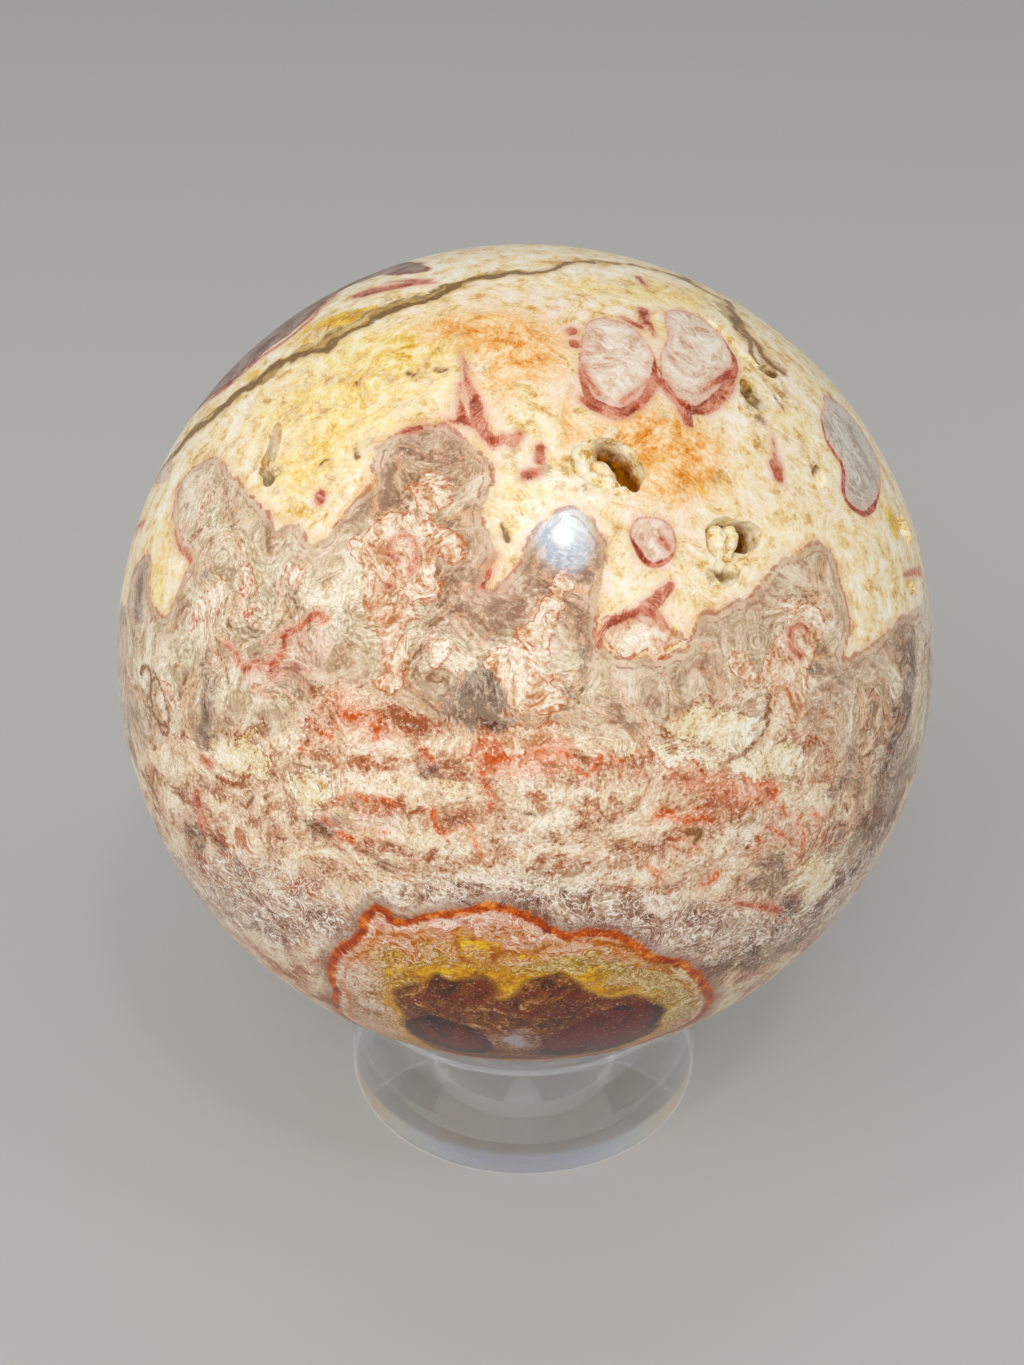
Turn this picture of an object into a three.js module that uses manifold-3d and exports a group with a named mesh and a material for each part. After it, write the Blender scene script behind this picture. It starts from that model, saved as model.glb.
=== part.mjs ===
// A polished stone sphere with open vugs in its pale upper part, resting on a clear ring stand.
// Millimetres, +Z up. The origin is on the axis of the ring, at the surface it stands on.
// The face of the stone that carries the picture looks towards -Y and up.
import * as THREE from "three";
import { mergeVertices } from "three/addons/utils/BufferGeometryUtils.js";
import Module from "manifold-3d";

// Driving dimensions
const STONE_RADIUS = 52.5;
const RING_OUTER_RADIUS = 25.4;
const RING_BORE_RADIUS = 12.7;
const RING_HEIGHT = 19;
const SEAT_RADIUS = 16.2; // the circle of the ring that carries the stone
const SEAT_DEPTH = 3.5; // the bevel that runs from that circle down to the bore
const FOOT_BEVEL = 1; // at the lower end of the bore
const EDGE_BEVEL = 0.5; // on the two outer edges
const SEAT_GAP = 0.2; // between the stone and the ring, so that the two solids stay apart
const FACE_ELEVATION = 30.3; // degrees that the stone's face looks up by

// Fineness of the meshes
const STONE_DETAIL = 13;
const LUMP_DETAIL = 2;
const VUG_TOLERANCE = 0.12;
const RING_SEGMENTS = 64;

const wasm = await Module();
wasm.setup();

const stoneCentreHeight =
  RING_HEIGHT + SEAT_GAP + Math.sqrt(STONE_RADIUS ** 2 - SEAT_RADIUS ** 2);

// The geometry of a mesh as a solid that can be joined and cut.
function solidFrom(geometry) {
  const bare = geometry.clone();
  bare.deleteAttribute("normal");
  bare.deleteAttribute("uv");
  const merged = mergeVertices(bare, 1e-4);
  return new wasm.Manifold(
    new wasm.Mesh({
      numProp: 3,
      vertProperties: new Float32Array(merged.getAttribute("position").array),
      triVerts: new Uint32Array(merged.index.array),
    }),
  );
}

function geometryFrom(solid) {
  const mesh = solid.getMesh();
  const geometry = new THREE.BufferGeometry();
  geometry.setAttribute("position", new THREE.BufferAttribute(mesh.vertProperties, 3));
  geometry.setIndex(new THREE.BufferAttribute(mesh.triVerts, 1));
  return geometry;
}

// The stone is laid out by its own longitude and latitude, in degrees. Both are 0 at the middle of its face,
// longitude grows to the right of someone who looks at the face, and its north pole is tipped back.
// The frame at a place has X to the east, Y to the north and Z out of the stone.
function frameAt(longitude, latitude) {
  const turn = THREE.MathUtils.degToRad(longitude);
  const rise = THREE.MathUtils.degToRad(latitude);
  const tip = new THREE.Matrix4().makeRotationX(-THREE.MathUtils.degToRad(FACE_ELEVATION));
  const out = new THREE.Vector3(
    Math.cos(rise) * Math.sin(turn),
    -Math.cos(rise) * Math.cos(turn),
    Math.sin(rise),
  ).applyMatrix4(tip);
  const pole = new THREE.Vector3(0, 0, 1).applyMatrix4(tip);
  const east = new THREE.Vector3().crossVectors(pole, out).normalize();
  const north = new THREE.Vector3().crossVectors(out, east);
  return new THREE.Matrix4()
    .makeBasis(east, north, out)
    .setPosition(out.clone().multiplyScalar(STONE_RADIUS));
}

// A lump is an uneven ellipsoid. Its ripple makes a vug's wall, or what has grown on it, knobbly.
function lump({ east = 0, north = 0, out = 0, size, turn = 0, ripple = 0.08 }) {
  const geometry = new THREE.IcosahedronGeometry(1, LUMP_DETAIL);
  const position = geometry.getAttribute("position");
  const point = new THREE.Vector3();
  for (let i = 0; i < position.count; i++) {
    point.fromBufferAttribute(position, i);
    const knobs =
      Math.sin(5.1 * point.x + 2.3 * north + east) *
        Math.sin(4.3 * point.y - 1.7 * east) *
        Math.cos(4.7 * point.z + north) +
      0.6 * Math.sin(8.3 * point.x + 6.9 * point.y - 5.7 * point.z + east * north);
    point.multiplyScalar(1 + ripple * knobs);
    position.setXYZ(i, point.x, point.y, point.z);
  }
  geometry
    .scale(size[0], size[1], size[2])
    .rotateZ(THREE.MathUtils.degToRad(turn))
    .translate(east, north, out);
  return solidFrom(geometry);
}

// A vug is its hollows, less the knobs of crystals that have grown into it. Places and half sizes are in
// millimetres in the frame at the vug; a hollow's third half size is its depth.
const VUGS = {
  main: {
    at: [10.5, 22.5],
    hollows: [
      { east: -1.4, north: 0.4, size: [3.4, 2.7, 1.6], turn: -20 },
      { east: 1.2, north: 0.9, size: [2.9, 2.1, 5.5], turn: -38 },
      { east: 2.9, north: -1.3, size: [1.5, 1.6, 4.6], turn: -20 },
    ],
    knobs: [
      { east: -1.3, north: -1.5, out: -2.6, size: [2.1, 1.5, 1.6] },
      { east: 0.4, north: -2.4, out: -2.2, size: [1.6, 1.2, 1.5] },
    ],
  },
  square: {
    at: [26.2, 13.2],
    hollows: [
      { east: -0.9, north: 0.4, size: [3.0, 3.1, 3.4], turn: 8 },
      { east: 2.0, north: 1.6, size: [1.7, 1.9, 6.5], turn: 20, ripple: 0.16 },
      { east: -1.4, north: -3.0, size: [1.7, 1.8, 2.6] },
    ],
    knobs: [
      { east: -1.5, north: 1.1, out: -2.1, size: [1.5, 1.6, 1.7] },
      { east: 0.1, north: 1.3, out: -2.3, size: [1.1, 1.4, 1.7] },
      { east: -1.0, north: -1.2, out: -2.4, size: [1.4, 1.2, 1.5] },
      { east: -1.9, north: -3.0, out: -2.3, size: [1.0, 1.1, 1.1] },
    ],
  },
  slit: {
    at: [-37, 25],
    hollows: [
      { east: 0.2, north: 1.6, size: [1.0, 2.7, 3.2], turn: 14 },
      { east: 0.3, north: -1.2, size: [1.1, 1.8, 3.4], turn: 8 },
      { east: 1.3, north: -3.4, size: [1.1, 0.7, 2.0], turn: -30 },
    ],
    knobs: [{ east: -0.5, north: 0.2, out: -2.2, size: [0.8, 2.2, 1.3], turn: 10 }],
  },
  cleft: {
    at: [38.6, 41],
    hollows: [
      { east: -0.5, north: 3.4, size: [0.7, 3.2, 2.2], turn: 14 },
      { east: 0.5, north: -0.6, size: [0.8, 2.0, 2.0], turn: 34 },
      { east: 3.2, north: -2.2, size: [1.5, 1.1, 2.4], turn: -12 },
    ],
    knobs: [],
  },
  nook: {
    at: [35.6, 33.4],
    hollows: [
      { east: -0.5, north: 0.9, size: [0.9, 2.0, 1.9], turn: -16 },
      { east: 0.2, north: -0.9, size: [1.3, 1.0, 2.6], turn: -20 },
      { east: 5.4, north: 1.0, size: [0.8, 1.0, 1.7] },
    ],
    knobs: [],
  },
  dimple: {
    at: [43, 22.4],
    hollows: [{ size: [1.2, 1.5, 1.2], turn: 10 }],
    knobs: [],
  },
  cup: {
    at: [65.5, 16.8],
    hollows: [
      { size: [1.9, 2.1, 2.2] },
      { east: -2.4, north: 0.4, size: [0.7, 1.6, 1.6] },
    ],
    knobs: [],
  },
  notch: {
    at: [61.8, 8.9],
    hollows: [{ size: [1.6, 0.9, 1.9], turn: 12 }],
    knobs: [],
  },
  back_hollow: {
    at: [158, 27],
    hollows: [
      { east: -1.6, north: 0.2, size: [3.6, 2.4, 3.2], turn: 15 },
      { east: 2.2, north: 1.0, size: [2.2, 2.6, 5.2], turn: -15 },
    ],
    knobs: [
      { east: -2.2, north: -0.9, out: -2.8, size: [1.8, 1.4, 1.5] },
      { east: -0.4, north: -1.3, out: -3.0, size: [1.5, 1.3, 1.6] },
    ],
  },
  back_slot: {
    at: [-128, 33],
    hollows: [
      { east: -1.0, north: 0.6, size: [2.6, 1.2, 3.0], turn: 24 },
      { east: 1.8, north: -0.6, size: [1.7, 1.3, 3.6], turn: -10 },
    ],
    knobs: [],
  },
  side_hollow: {
    at: [112, 19],
    hollows: [
      { size: [2.3, 2.9, 3.6], turn: 18 },
      { east: 0.8, north: -2.8, size: [1.3, 1.2, 2.2] },
    ],
    knobs: [{ east: -0.7, north: 0.8, out: -2.7, size: [1.2, 1.5, 1.4] }],
  },
};

function cutterOf({ at, hollows, knobs }) {
  let cutter = wasm.Manifold.union(hollows.map(lump));
  for (const knob of knobs) {
    cutter = cutter.subtract(lump({ ...knob, ripple: 0.12 }));
  }
  // A knob can split the space, so only its largest part is cut away.
  const [largest] = cutter.decompose().sort((a, b) => b.volume() - a.volume());
  return largest.simplify(VUG_TOLERANCE).transform(frameAt(...at).elements);
}

function stoneGeometry() {
  const ball = solidFrom(new THREE.IcosahedronGeometry(STONE_RADIUS, STONE_DETAIL));
  const cutters = Object.values(VUGS).map(cutterOf);
  return geometryFrom(ball.subtract(wasm.Manifold.union(cutters)));
}

// The stand is one turned ring of clear plastic, with a bevelled seat at the top of its bore.
function ringGeometry() {
  const profile = [
    [RING_BORE_RADIUS, FOOT_BEVEL],
    [RING_BORE_RADIUS + FOOT_BEVEL, 0],
    [RING_OUTER_RADIUS - EDGE_BEVEL, 0],
    [RING_OUTER_RADIUS, EDGE_BEVEL],
    [RING_OUTER_RADIUS, RING_HEIGHT - EDGE_BEVEL],
    [RING_OUTER_RADIUS - EDGE_BEVEL, RING_HEIGHT],
    [SEAT_RADIUS, RING_HEIGHT],
    [RING_BORE_RADIUS, RING_HEIGHT - SEAT_DEPTH],
    [RING_BORE_RADIUS, FOOT_BEVEL],
  ].map(([radius, height]) => new THREE.Vector2(radius, height));
  // A lathe turns about Y, so the ring is stood up to turn about Z.
  return new THREE.LatheGeometry(profile, RING_SEGMENTS).rotateX(Math.PI / 2);
}

const stone = new THREE.Mesh(
  stoneGeometry(),
  new THREE.MeshStandardMaterial({ color: "#d8bf9f", roughness: 0.18, metalness: 0 }),
);
stone.name = "stone_sphere";
stone.position.z = stoneCentreHeight;

const ring = new THREE.Mesh(
  ringGeometry(),
  new THREE.MeshStandardMaterial({
    color: "#e6eef2",
    roughness: 0.05,
    metalness: 0,
    transparent: true,
    opacity: 0.35,
  }),
);
ring.name = "ring_stand";

const sphereOnStand = new THREE.Group();
sphereOnStand.add(stone, ring);

export default sphereOnStand;
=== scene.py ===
"""A polished, patterned stone sphere with open vugs, resting on a clear ring stand.

Places on the stone are its own longitude and latitude, in degrees. Both are 0 at the middle of its face,
east is to the right of someone who looks at the face, and the north pole is tipped back. Other sizes are
in millimetres, and MM turns them into the scene's metres.
"""
import math
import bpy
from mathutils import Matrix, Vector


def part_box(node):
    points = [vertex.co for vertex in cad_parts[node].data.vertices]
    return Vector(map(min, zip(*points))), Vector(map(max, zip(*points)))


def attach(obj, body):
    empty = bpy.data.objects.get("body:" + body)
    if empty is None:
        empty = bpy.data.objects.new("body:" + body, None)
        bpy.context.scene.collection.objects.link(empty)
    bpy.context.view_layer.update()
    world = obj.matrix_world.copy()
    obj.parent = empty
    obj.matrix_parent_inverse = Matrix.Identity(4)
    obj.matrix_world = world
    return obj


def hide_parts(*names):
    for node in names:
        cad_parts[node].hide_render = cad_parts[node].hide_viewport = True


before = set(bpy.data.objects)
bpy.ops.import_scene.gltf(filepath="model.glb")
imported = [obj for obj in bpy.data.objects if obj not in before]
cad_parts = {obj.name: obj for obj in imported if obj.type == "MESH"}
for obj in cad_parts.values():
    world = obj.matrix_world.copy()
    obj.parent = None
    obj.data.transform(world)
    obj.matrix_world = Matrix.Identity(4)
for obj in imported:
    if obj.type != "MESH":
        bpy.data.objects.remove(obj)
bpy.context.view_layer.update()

from types import SimpleNamespace

import bpy
import numpy as np
from mathutils import Euler, Matrix, Vector

bpy.ops.object.select_all(action="DESELECT")

MM = 0.001
BODY = "root"
STONE_NODE = "stone_sphere"
RING_NODE = "ring_stand"

# The stone and the ring, as the frame has them
STONE_LOW, STONE_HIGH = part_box(STONE_NODE)
STONE_CENTRE = (STONE_LOW + STONE_HIGH) / 2
STONE_RADIUS = (STONE_HIGH.z - STONE_LOW.z) / 2 / MM
RING_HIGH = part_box(RING_NODE)[1]
RING_OUTER_RADIUS = RING_HIGH.x / MM
RING_HEIGHT = RING_HIGH.z / MM
RING_BORE_RADIUS = 12.7
SEAT_RADIUS = 16.2
SEAT_DEPTH = 3.5
FOOT_BEVEL = 1
EDGE_ROUND = 0.5

# How the stone lies: its face looks up by this many degrees
FACE_ELEVATION = 30.3
STONE_TIP = Matrix.Rotation(-math.radians(FACE_ELEVATION), 3, "X")

# The camera, by the photograph
PHOTO_WIDTH = 1024
PHOTO_HEIGHT = 1365
FOCAL_PIXELS = 1893
SENSOR_WIDTH = 36
CAMERA_DISTANCE = 248.9
STONE_PIXEL = (526.8, 653.8)

# The lamps, in metres and watts. The key and its glow stand where the stone mirrors them to the camera from
# the place of the photograph's highlight.
HIGHLIGHT_PLACE = (4.4, 13.6)
KEY = {"across": 0.07, "power": 0.55, "color": (1, 0.98, 0.95)}
KEY_DISTANCE = 0.9
GLOW = {"across": 0.26, "height": 0.36, "power": 4.4, "color": (0.26, 0.68, 1)}
GLOW_DISTANCE = 1.0
FILLS = {
    "front_fill": {"place": (-0.2, -1.2, 0.95), "across": 1.0, "power": 8.6, "color": (1, 0.99, 0.97)},
    "left_fill": {"place": (-1.3, -0.8, 0.8), "across": 1.2, "power": 7.6, "color": (1, 1, 1)},
    "right_fill": {"place": (1.4, -0.5, 0.9), "across": 1.2, "power": 3.9, "color": (1, 1, 1)},
}
ROOM_COLOR = (1, 0.985, 0.96, 1)
ROOM_STRENGTH = 0.46

# The floor: its size in metres, its drop below the ring in millimetres, and its paint
FLOOR_SIZE = 8
FLOOR_DROP = 0.05
FLOOR_COLOR = (0.52, 0.52, 0.51, 1)
FLOOR_ROUGHNESS = 0.7

# The stone's mesh, which is cut finer within an angle of the middle of its face
BALL_SUBDIVISIONS = 7
FINE_ANGLE = 64
FINE_CUTS = 1
STONE_CREASE_ANGLE = 38

# The lumps that vugs are cut with, how finely they are melted together, and the relief of their skins
LUMP_SUBDIVISIONS = 5
LUMP_VOXEL = 0.24
LUMP_RELIEF = 0.8
HOLLOW_RELIEF_SIZE = 1.1
KNOB_RELIEF_SIZE = 0.7

# The ring's mesh
RING_STEPS = 192
EDGE_STEPS = 4
BEVEL_ANGLE = 25
RING_CREASE_ANGLE = 30

# How a drawn outline is read: points to each of its spans, and how far from it depths are told
CURVE_STEPS = 5
REACH = 14

# How drawn features wander, as (wavelength, reach)
WANDERINGS = ((8.3, 0.32), (3.7, 0.22), (1.9, 0.13))

# South of this latitude the bands follow the plumes' lower edge
BANDS_NORTH = -5.5

# How much stronger the stone's colours are than its paints
COLOR_STRENGTH = 1.22


def direction(east, north):
    """The stone's own unit vector to a place on it."""
    east = np.radians(east)
    north = np.radians(north)
    return np.stack(
        [np.cos(north) * np.sin(east), -np.cos(north) * np.cos(east), np.sin(north)], axis=-1
    )


def unit(vectors):
    return vectors / np.linalg.norm(vectors, axis=-1, keepdims=True)


def world_direction(east, north):
    return STONE_TIP @ Vector(direction(east, north))


def frame_at(east, north):
    """A matrix with X to the east, Y to the north, Z out of the stone and its origin on the surface."""
    out = world_direction(east, north)
    pole = STONE_TIP @ Vector((0, 0, 1))
    side = pole.cross(out).normalized()
    up = out.cross(side)
    turn = Matrix((side, up, out)).transposed().to_4x4()
    return Matrix.Translation(STONE_CENTRE + out * STONE_RADIUS * MM) @ turn


# Camera, lights and floor


def add_camera():
    data = bpy.data.cameras.new("camera")
    data.sensor_fit = "AUTO"
    data.sensor_width = SENSOR_WIDTH
    data.lens = SENSOR_WIDTH * FOCAL_PIXELS / PHOTO_HEIGHT
    data.clip_start = 0.01
    camera = bpy.data.objects.new("camera", data)
    bpy.context.scene.collection.objects.link(camera)
    camera.location = STONE_CENTRE + world_direction(0, 0) * CAMERA_DISTANCE * MM
    aside = math.atan((STONE_PIXEL[0] - PHOTO_WIDTH / 2) / FOCAL_PIXELS)
    above = math.atan((PHOTO_HEIGHT / 2 - STONE_PIXEL[1]) / FOCAL_PIXELS)
    pitch = math.radians(90 - FACE_ELEVATION) - above
    camera.rotation_euler = Euler((pitch, 0, aside), "XYZ")
    bpy.context.scene.camera = camera
    return camera


def add_lamp(name, place, across, power, color, height=None):
    """A round or oval lamp that shines on the stone."""
    data = bpy.data.lights.new(name, "AREA")
    data.shape = "ELLIPSE" if height else "DISK"
    data.size = across
    if height:
        data.size_y = height
    data.energy = power
    data.color = color
    lamp = bpy.data.objects.new(name, data)
    bpy.context.scene.collection.objects.link(lamp)
    lamp.location = place
    lamp.rotation_euler = (lamp.location - STONE_CENTRE).to_track_quat("Z", "Y").to_euler()
    return lamp


def add_lights(camera):
    """A small key lamp with a bluish glow behind it, wide fills that aren't reflected, and a pale room."""
    out = world_direction(*HIGHLIGHT_PLACE)
    seen_at = STONE_CENTRE + out * STONE_RADIUS * MM
    to_camera = (camera.location - seen_at).normalized()
    to_lamp = 2 * out.dot(to_camera) * out - to_camera
    add_lamp("key", seen_at + to_lamp * KEY_DISTANCE, **KEY)
    glow = add_lamp("key_glow", seen_at + to_lamp * GLOW_DISTANCE, **GLOW)
    glow.visible_diffuse = False
    for name, settings in FILLS.items():
        fill = add_lamp(name, **settings)
        fill.visible_glossy = False
    world = bpy.data.worlds.new("room")
    world.use_nodes = True
    background = world.node_tree.nodes["Background"]
    background.inputs["Color"].default_value = ROOM_COLOR
    background.inputs["Strength"].default_value = ROOM_STRENGTH
    bpy.context.scene.world = world


def add_floor():
    bpy.ops.mesh.primitive_plane_add(size=FLOOR_SIZE)
    floor = bpy.context.object
    floor.name = "floor"
    floor.location.z = -FLOOR_DROP * MM
    material = bpy.data.materials.new("floor_paint")
    material.use_nodes = True
    shader = material.node_tree.nodes["Principled BSDF"]
    shader.inputs["Base Color"].default_value = FLOOR_COLOR
    shader.inputs["Roughness"].default_value = FLOOR_ROUGHNESS
    floor.data.materials.append(material)


# Materials: nodes written as sums


class Wire:
    """An output of a material's nodes. Sums on wires add the Math or Vector Math nodes that they need."""

    def __init__(self, finish, socket):
        self.finish = finish
        self.socket = socket

    @property
    def holds_vector(self):
        return self.socket.type in ("VECTOR", "RGBA")

    def join(self, operation, first, second):
        vector = any(isinstance(wire, Wire) and wire.holds_vector for wire in (first, second))
        kind = "ShaderNodeVectorMath" if vector else "ShaderNodeMath"
        return self.finish.node(kind, {"operation": operation}, {0: first, 1: second})

    def __add__(self, other):
        return self.join("ADD", self, other)

    def __radd__(self, other):
        return self.join("ADD", other, self)

    def __sub__(self, other):
        return self.join("SUBTRACT", self, other)

    def __rsub__(self, other):
        return self.join("SUBTRACT", other, self)

    def __mul__(self, other):
        if self.holds_vector and not isinstance(other, tuple):
            inputs = {0: self, "Scale": other}
            return self.finish.node("ShaderNodeVectorMath", {"operation": "SCALE"}, inputs)
        return self.join("MULTIPLY", self, other)

    def __rmul__(self, other):
        return self * other

    def __truediv__(self, other):
        return self.join("DIVIDE", self, other)

    def __abs__(self):
        return self.finish.node("ShaderNodeMath", {"operation": "ABSOLUTE"}, {0: self})


class Finish:
    """A material and the means to add nodes to it."""

    def __init__(self, name):
        self.material = bpy.data.materials.new(name)
        self.material.use_nodes = True
        self.tree = self.material.node_tree
        self.shader = self.tree.nodes["Principled BSDF"]

    def socket(self, sockets, key):
        if isinstance(key, int):
            return sockets[key]
        return next(s for s in sockets if key in (s.identifier, s.name))

    def set(self, node, inputs):
        for key, value in inputs.items():
            socket = self.socket(node.inputs, key)
            if isinstance(value, Wire):
                self.tree.links.new(value.socket, socket)
            else:
                socket.default_value = value

    def node(self, kind, settings, inputs, output=0):
        made = self.tree.nodes.new(kind)
        for key, value in settings.items():
            if key == "stops":
                self.set_stops(made.color_ramp.elements, value)
            else:
                setattr(made, key, value)
        self.set(made, inputs)
        return Wire(self, self.socket(made.outputs, output))

    def set_stops(self, elements, stops):
        while len(elements) < len(stops):
            elements.new(1)
        for element, (position, color) in zip(elements, stops):
            element.position = position
            element.color = color

    def ramp(self, value, stops):
        """Colours by a value, given as (value, colour) stops."""
        return self.node("ShaderNodeValToRGB", {"stops": stops}, {"Fac": value}, "Color")

    def field(self, name):
        """A value that is stored on the piece's own points."""
        return self.node("ShaderNodeAttribute", {"attribute_name": name}, {}, "Fac")

    def noise(self, vector, scale, detail, roughness=0.55, output=0):
        inputs = {"Vector": vector, "Scale": scale, "Detail": detail, "Roughness": roughness}
        return self.node("ShaderNodeTexNoise", {}, inputs, output)

    def smooth(self, value, low, high):
        """0 below low and 1 above high, with a soft step between. High may be the lower of the two."""
        settings = {"interpolation_type": "SMOOTHSTEP", "clamp": True}
        flip = high < low
        inputs = {
            "Value": value,
            "From Min": min(low, high),
            "From Max": max(low, high),
            "To Min": 1.0 if flip else 0.0,
            "To Max": 0.0 if flip else 1.0,
        }
        return self.node("ShaderNodeMapRange", settings, inputs)

    def near(self, value, middle, width):
        """1 where a value is at the middle, falling to 0 a width away from it."""
        return self.smooth(abs(value - middle), width, 0)

    def larger(self, first, second):
        return self.node("ShaderNodeMath", {"operation": "MAXIMUM"}, {0: first, 1: second})

    def saw(self, value):
        """Runs from 1 down to 0 and back up with each whole step of the value."""
        step = self.node("ShaderNodeMath", {"operation": "FRACT"}, {0: value})
        return abs(step - 0.5) * 2

    def blend(self, share, below, above):
        """One colour over another, by a share from 0 to 1."""
        settings = {"data_type": "RGBA", "clamp_factor": True}
        inputs = {"Factor_Float": share, "A_Color": below, "B_Color": above}
        return self.node("ShaderNodeMix", settings, inputs, "Result_Color")

    def tint(self, color, glaze):
        """A colour seen through a coloured glaze."""
        settings = {"data_type": "RGBA", "blend_type": "MULTIPLY"}
        inputs = {"Factor_Float": 1.0, "A_Color": color, "B_Color": (*glaze, 1)}
        return self.node("ShaderNodeMix", settings, inputs, "Result_Color")


def paint(red, green, blue):
    """A colour given as a paint chart does, from 0 to 255."""
    levels = [level / 255 for level in (red, green, blue)]
    linear = [v / 12.92 if v <= 0.04045 else ((v + 0.055) / 1.055) ** 2.4 for v in levels]
    return (*linear, 1)


# The stone's picture: the places of its features

# The grey plumes: their outline along the top, from west to east across the face
SKYLINE = [
    (-67.3, 7), (-67.3, 9.6), (-64.9, 12.2), (-61, 12.8), (-58.4, 11.2), (-57.6, 8.6), (-55.6, 6),
    (-53, 4.8), (-50.3, 5.2), (-49.6, 8), (-47.6, 10.4), (-47.5, 11.8), (-50.6, 13.6), (-52.9, 15.4),
    (-55.4, 18), (-56.9, 20.6), (-55.6, 23), (-53, 24.6), (-49.4, 25.2), (-46.2, 24.4), (-41.6, 21.8),
    (-37.7, 19.3), (-34.6, 17.4), (-32.8, 15.6), (-31.9, 14.6), (-30.4, 15.4), (-28.6, 14.8),
    (-27.4, 13.6), (-24.6, 13.6), (-22.8, 16.4), (-20.2, 19.2), (-18.6, 20.6), (-19.5, 22.6),
    (-19.6, 24.6), (-18, 26.6), (-16, 27.7), (-12.9, 28), (-9.6, 27.2), (-6.6, 25.2), (-4.6, 22.4),
    (-4.2, 19), (-4.8, 16), (-3.9, 13), (-3.5, 11), (-4.7, 8.2), (-4.6, 6.8), (-2.7, 8.2), (-1, 10.4),
    (0.4, 13.2), (2.8, 15.6), (6, 16.8), (8.3, 15.6), (9.3, 12.6), (9, 9), (8, 4.6), (8.3, 1.6),
    (10, 0.2), (14, -0.7), (18.5, 0.4), (19.8, 2.6), (21.4, 4.7), (24.6, 6), (28, 7.2), (30.4, 9.4),
    (32.5, 11.2), (35.7, 12.5), (39.1, 13.3), (41.7, 12.2), (42.6, 9.6), (43.3, 6.6), (43.4, 3.4),
    (42.5, -0.3), (45.9, 0.7), (49.2, 1.6), (52.1, 3), (54.6, 4.4), (58, 4.7), (64.3, 5.4),
]
PLUME_FOOT = [
    (66, -14), (60, -20), (52, -20), (46, -16.6), (41, -11), (36, -9), (31, -5), (26, -4.6), (20.5, -5.4),
    (18, -7.6), (13.3, -9.4), (8.5, -9.2), (3.8, -10), (-1, -9.8), (-3.4, -8.7), (-6.6, -8.6),
    (-9.6, -7.6), (-12, -6.6), (-15, -6.6), (-18, -4.6), (-22, -3.6), (-25.4, -5), (-26.6, -8),
    (-30.5, -9.6), (-36, -9.4), (-40, -10.4), (-44, -11.6), (-47, -10), (-56, -11.6), (-66, -12),
]
BACK_PLUMES = {
    "east": [
        (58, 4), (66, 7), (72, 12), (78, 20), (84, 25), (90, 24), (94, 17), (97, 8), (103, 6), (108, 12),
        (114, 18), (120, 17), (124, 10), (127, 3), (132, -4), (126, -12), (112, -10), (98, -14),
        (84, -9), (70, -16), (60, -12),
    ],
    "back": [
        (120, 0), (128, 4), (134, 12), (139, 24), (147, 31), (156, 29), (160, 20), (163, 10), (170, 8),
        (176, 14), (184, 19), (192, 16), (197, 8), (204, 3), (210, -5), (198, -12), (182, -9),
        (166, -15), (148, -10), (130, -13),
    ],
    "west": [
        (198, -2), (206, 5), (213, 16), (221, 26), (230, 28), (236, 20), (239, 9), (246, 6), (252, 13),
        (260, 19), (268, 18), (273, 10), (280, 5), (288, 7), (294, 4), (296, -8), (284, -12),
        (266, -9), (246, -15), (224, -9), (206, -12),
    ],
}

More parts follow.
